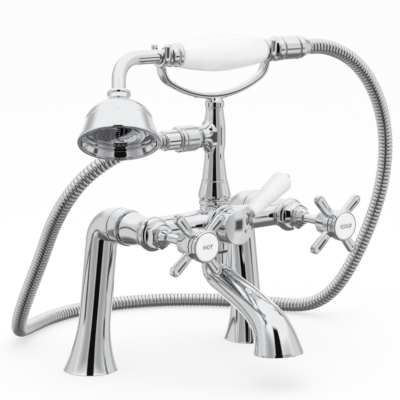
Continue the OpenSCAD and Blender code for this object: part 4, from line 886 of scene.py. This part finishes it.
room = Finish("studio_room", "worlds")
ray = room.node("ShaderNodeLightPath").outputs
sky = room.node("ShaderNodeSeparateXYZ", None,
    {0: room.node("ShaderNodeTexCoord").outputs["Generated"]}).outputs
x, y, z = (Value(room, socket) for socket in sky)
flat = (1.0 - z * z).maths("MAXIMUM", 1e-4).power(-0.5)
turned_away = ((x * -0.624 + y * -0.781) * flat).maths("ARCCOSINE") * (1 / np.pi)


def grey(v):
    return (v, v, v)


def by_turn(*stops):
    """A grey that follows the angle from the camera's side, counted in half turns."""
    return room.node("ShaderNodeValToRGB", None, {"Fac": turned_away},
                     [(place, grey(v)) for place, v in stops]).outputs["Color"]


def by_height(*stops):
    """A grey that follows the height of the direction: 0 is straight down and 1 straight up."""
    return room.node("ShaderNodeValToRGB", None, {"Fac": z * 0.5 + 0.5},
                     [(place, grey(v)) for place, v in stops]).outputs["Color"]


def band(flag):
    """The room's walls. flag is the brightness of the narrow bands at the sides."""
    return by_turn((0.0, 0.005), (0.095, 0.005), (0.108, 0.60), (0.16, 0.42), (0.25, 0.38), (0.36, 0.62),
        (0.385, flag), (0.44, flag), (0.465, 0.72), (0.63, 0.72), (0.70, 0.5), (0.80, 0.5), (0.86, 0.95))


def mixed(factor, a, b):
    """Two colours mixed by a factor."""
    made = room.node("ShaderNodeMix", dict(data_type="RGBA"))
    for key, given in (("Factor_Float", factor), ("A_Color", a), ("B_Color", b)):
        socket = next(i for i in made.inputs if i.identifier == key)
        if isinstance(given, bpy.types.NodeSocket):
            room.tree.links.new(given, socket)
        else:
            socket.default_value = given
    return next(o for o in made.outputs if o.identifier == "Result_Color")


near_level = by_height((0.0, 0.0), (0.36, 0.0), (0.40, 1.0), (0.48, 1.0), (0.52, 0.0))
walls = mixed(near_level, band(0.8), band(0.08))
below = by_turn((0.0, 0.12), (0.80, 0.16), (0.955, 0.2), (0.972, 0.004), (1.0, 0.004))
downward = by_height((0.0, 1.0), (0.17, 1.0), (0.26, 0.0))
strip = Value(room, by_turn((0.0, 1.0), (0.085, 1.0), (0.108, 0.0)))
strip_reach = Value(room, by_height((0.0, 1.0), (0.89, 1.0), (0.93, 0.0)))
upward = Value(room, by_height((0.0, 0.0), (0.72, 0.0), (0.82, 1.0))) * (1.0 - strip * strip_reach)
seen = mixed(upward.socket, mixed(downward, walls, below), grey(0.98) + (1.0,))
white = room.node("ShaderNodeBackground", None, {"Color": grey(1.0) + (1.0,), "Strength": 0.95})
studio = room.node("ShaderNodeBackground", None, {"Color": seen, "Strength": 1.0})
both = room.node("ShaderNodeMixShader", None, {0: ray["Is Glossy Ray"], 1: white.outputs[0],
    2: studio.outputs[0]})
room.node("ShaderNodeOutputWorld", None, {"Surface": both.outputs[0]})
bpy.context.scene.world = room.material


def soft_lamp(name, place, size, power):
    """A square lamp that looks at the mixer and that the metal doesn't show."""
    lamp = bpy.data.lights.new(name, "AREA")
    lamp.size, lamp.energy = size, power
    made = bpy.data.objects.new(name, lamp)
    bpy.context.collection.objects.link(made)
    made.location = place
    made.rotation_euler = (Vector((0, -0.06, 0.15)) - made.location).to_track_quat("-Z", "Y").to_euler()
    made.visible_glossy = False
    return made


soft_lamp("key", (-0.6, -0.7, 1.5), 0.9, 4.0)
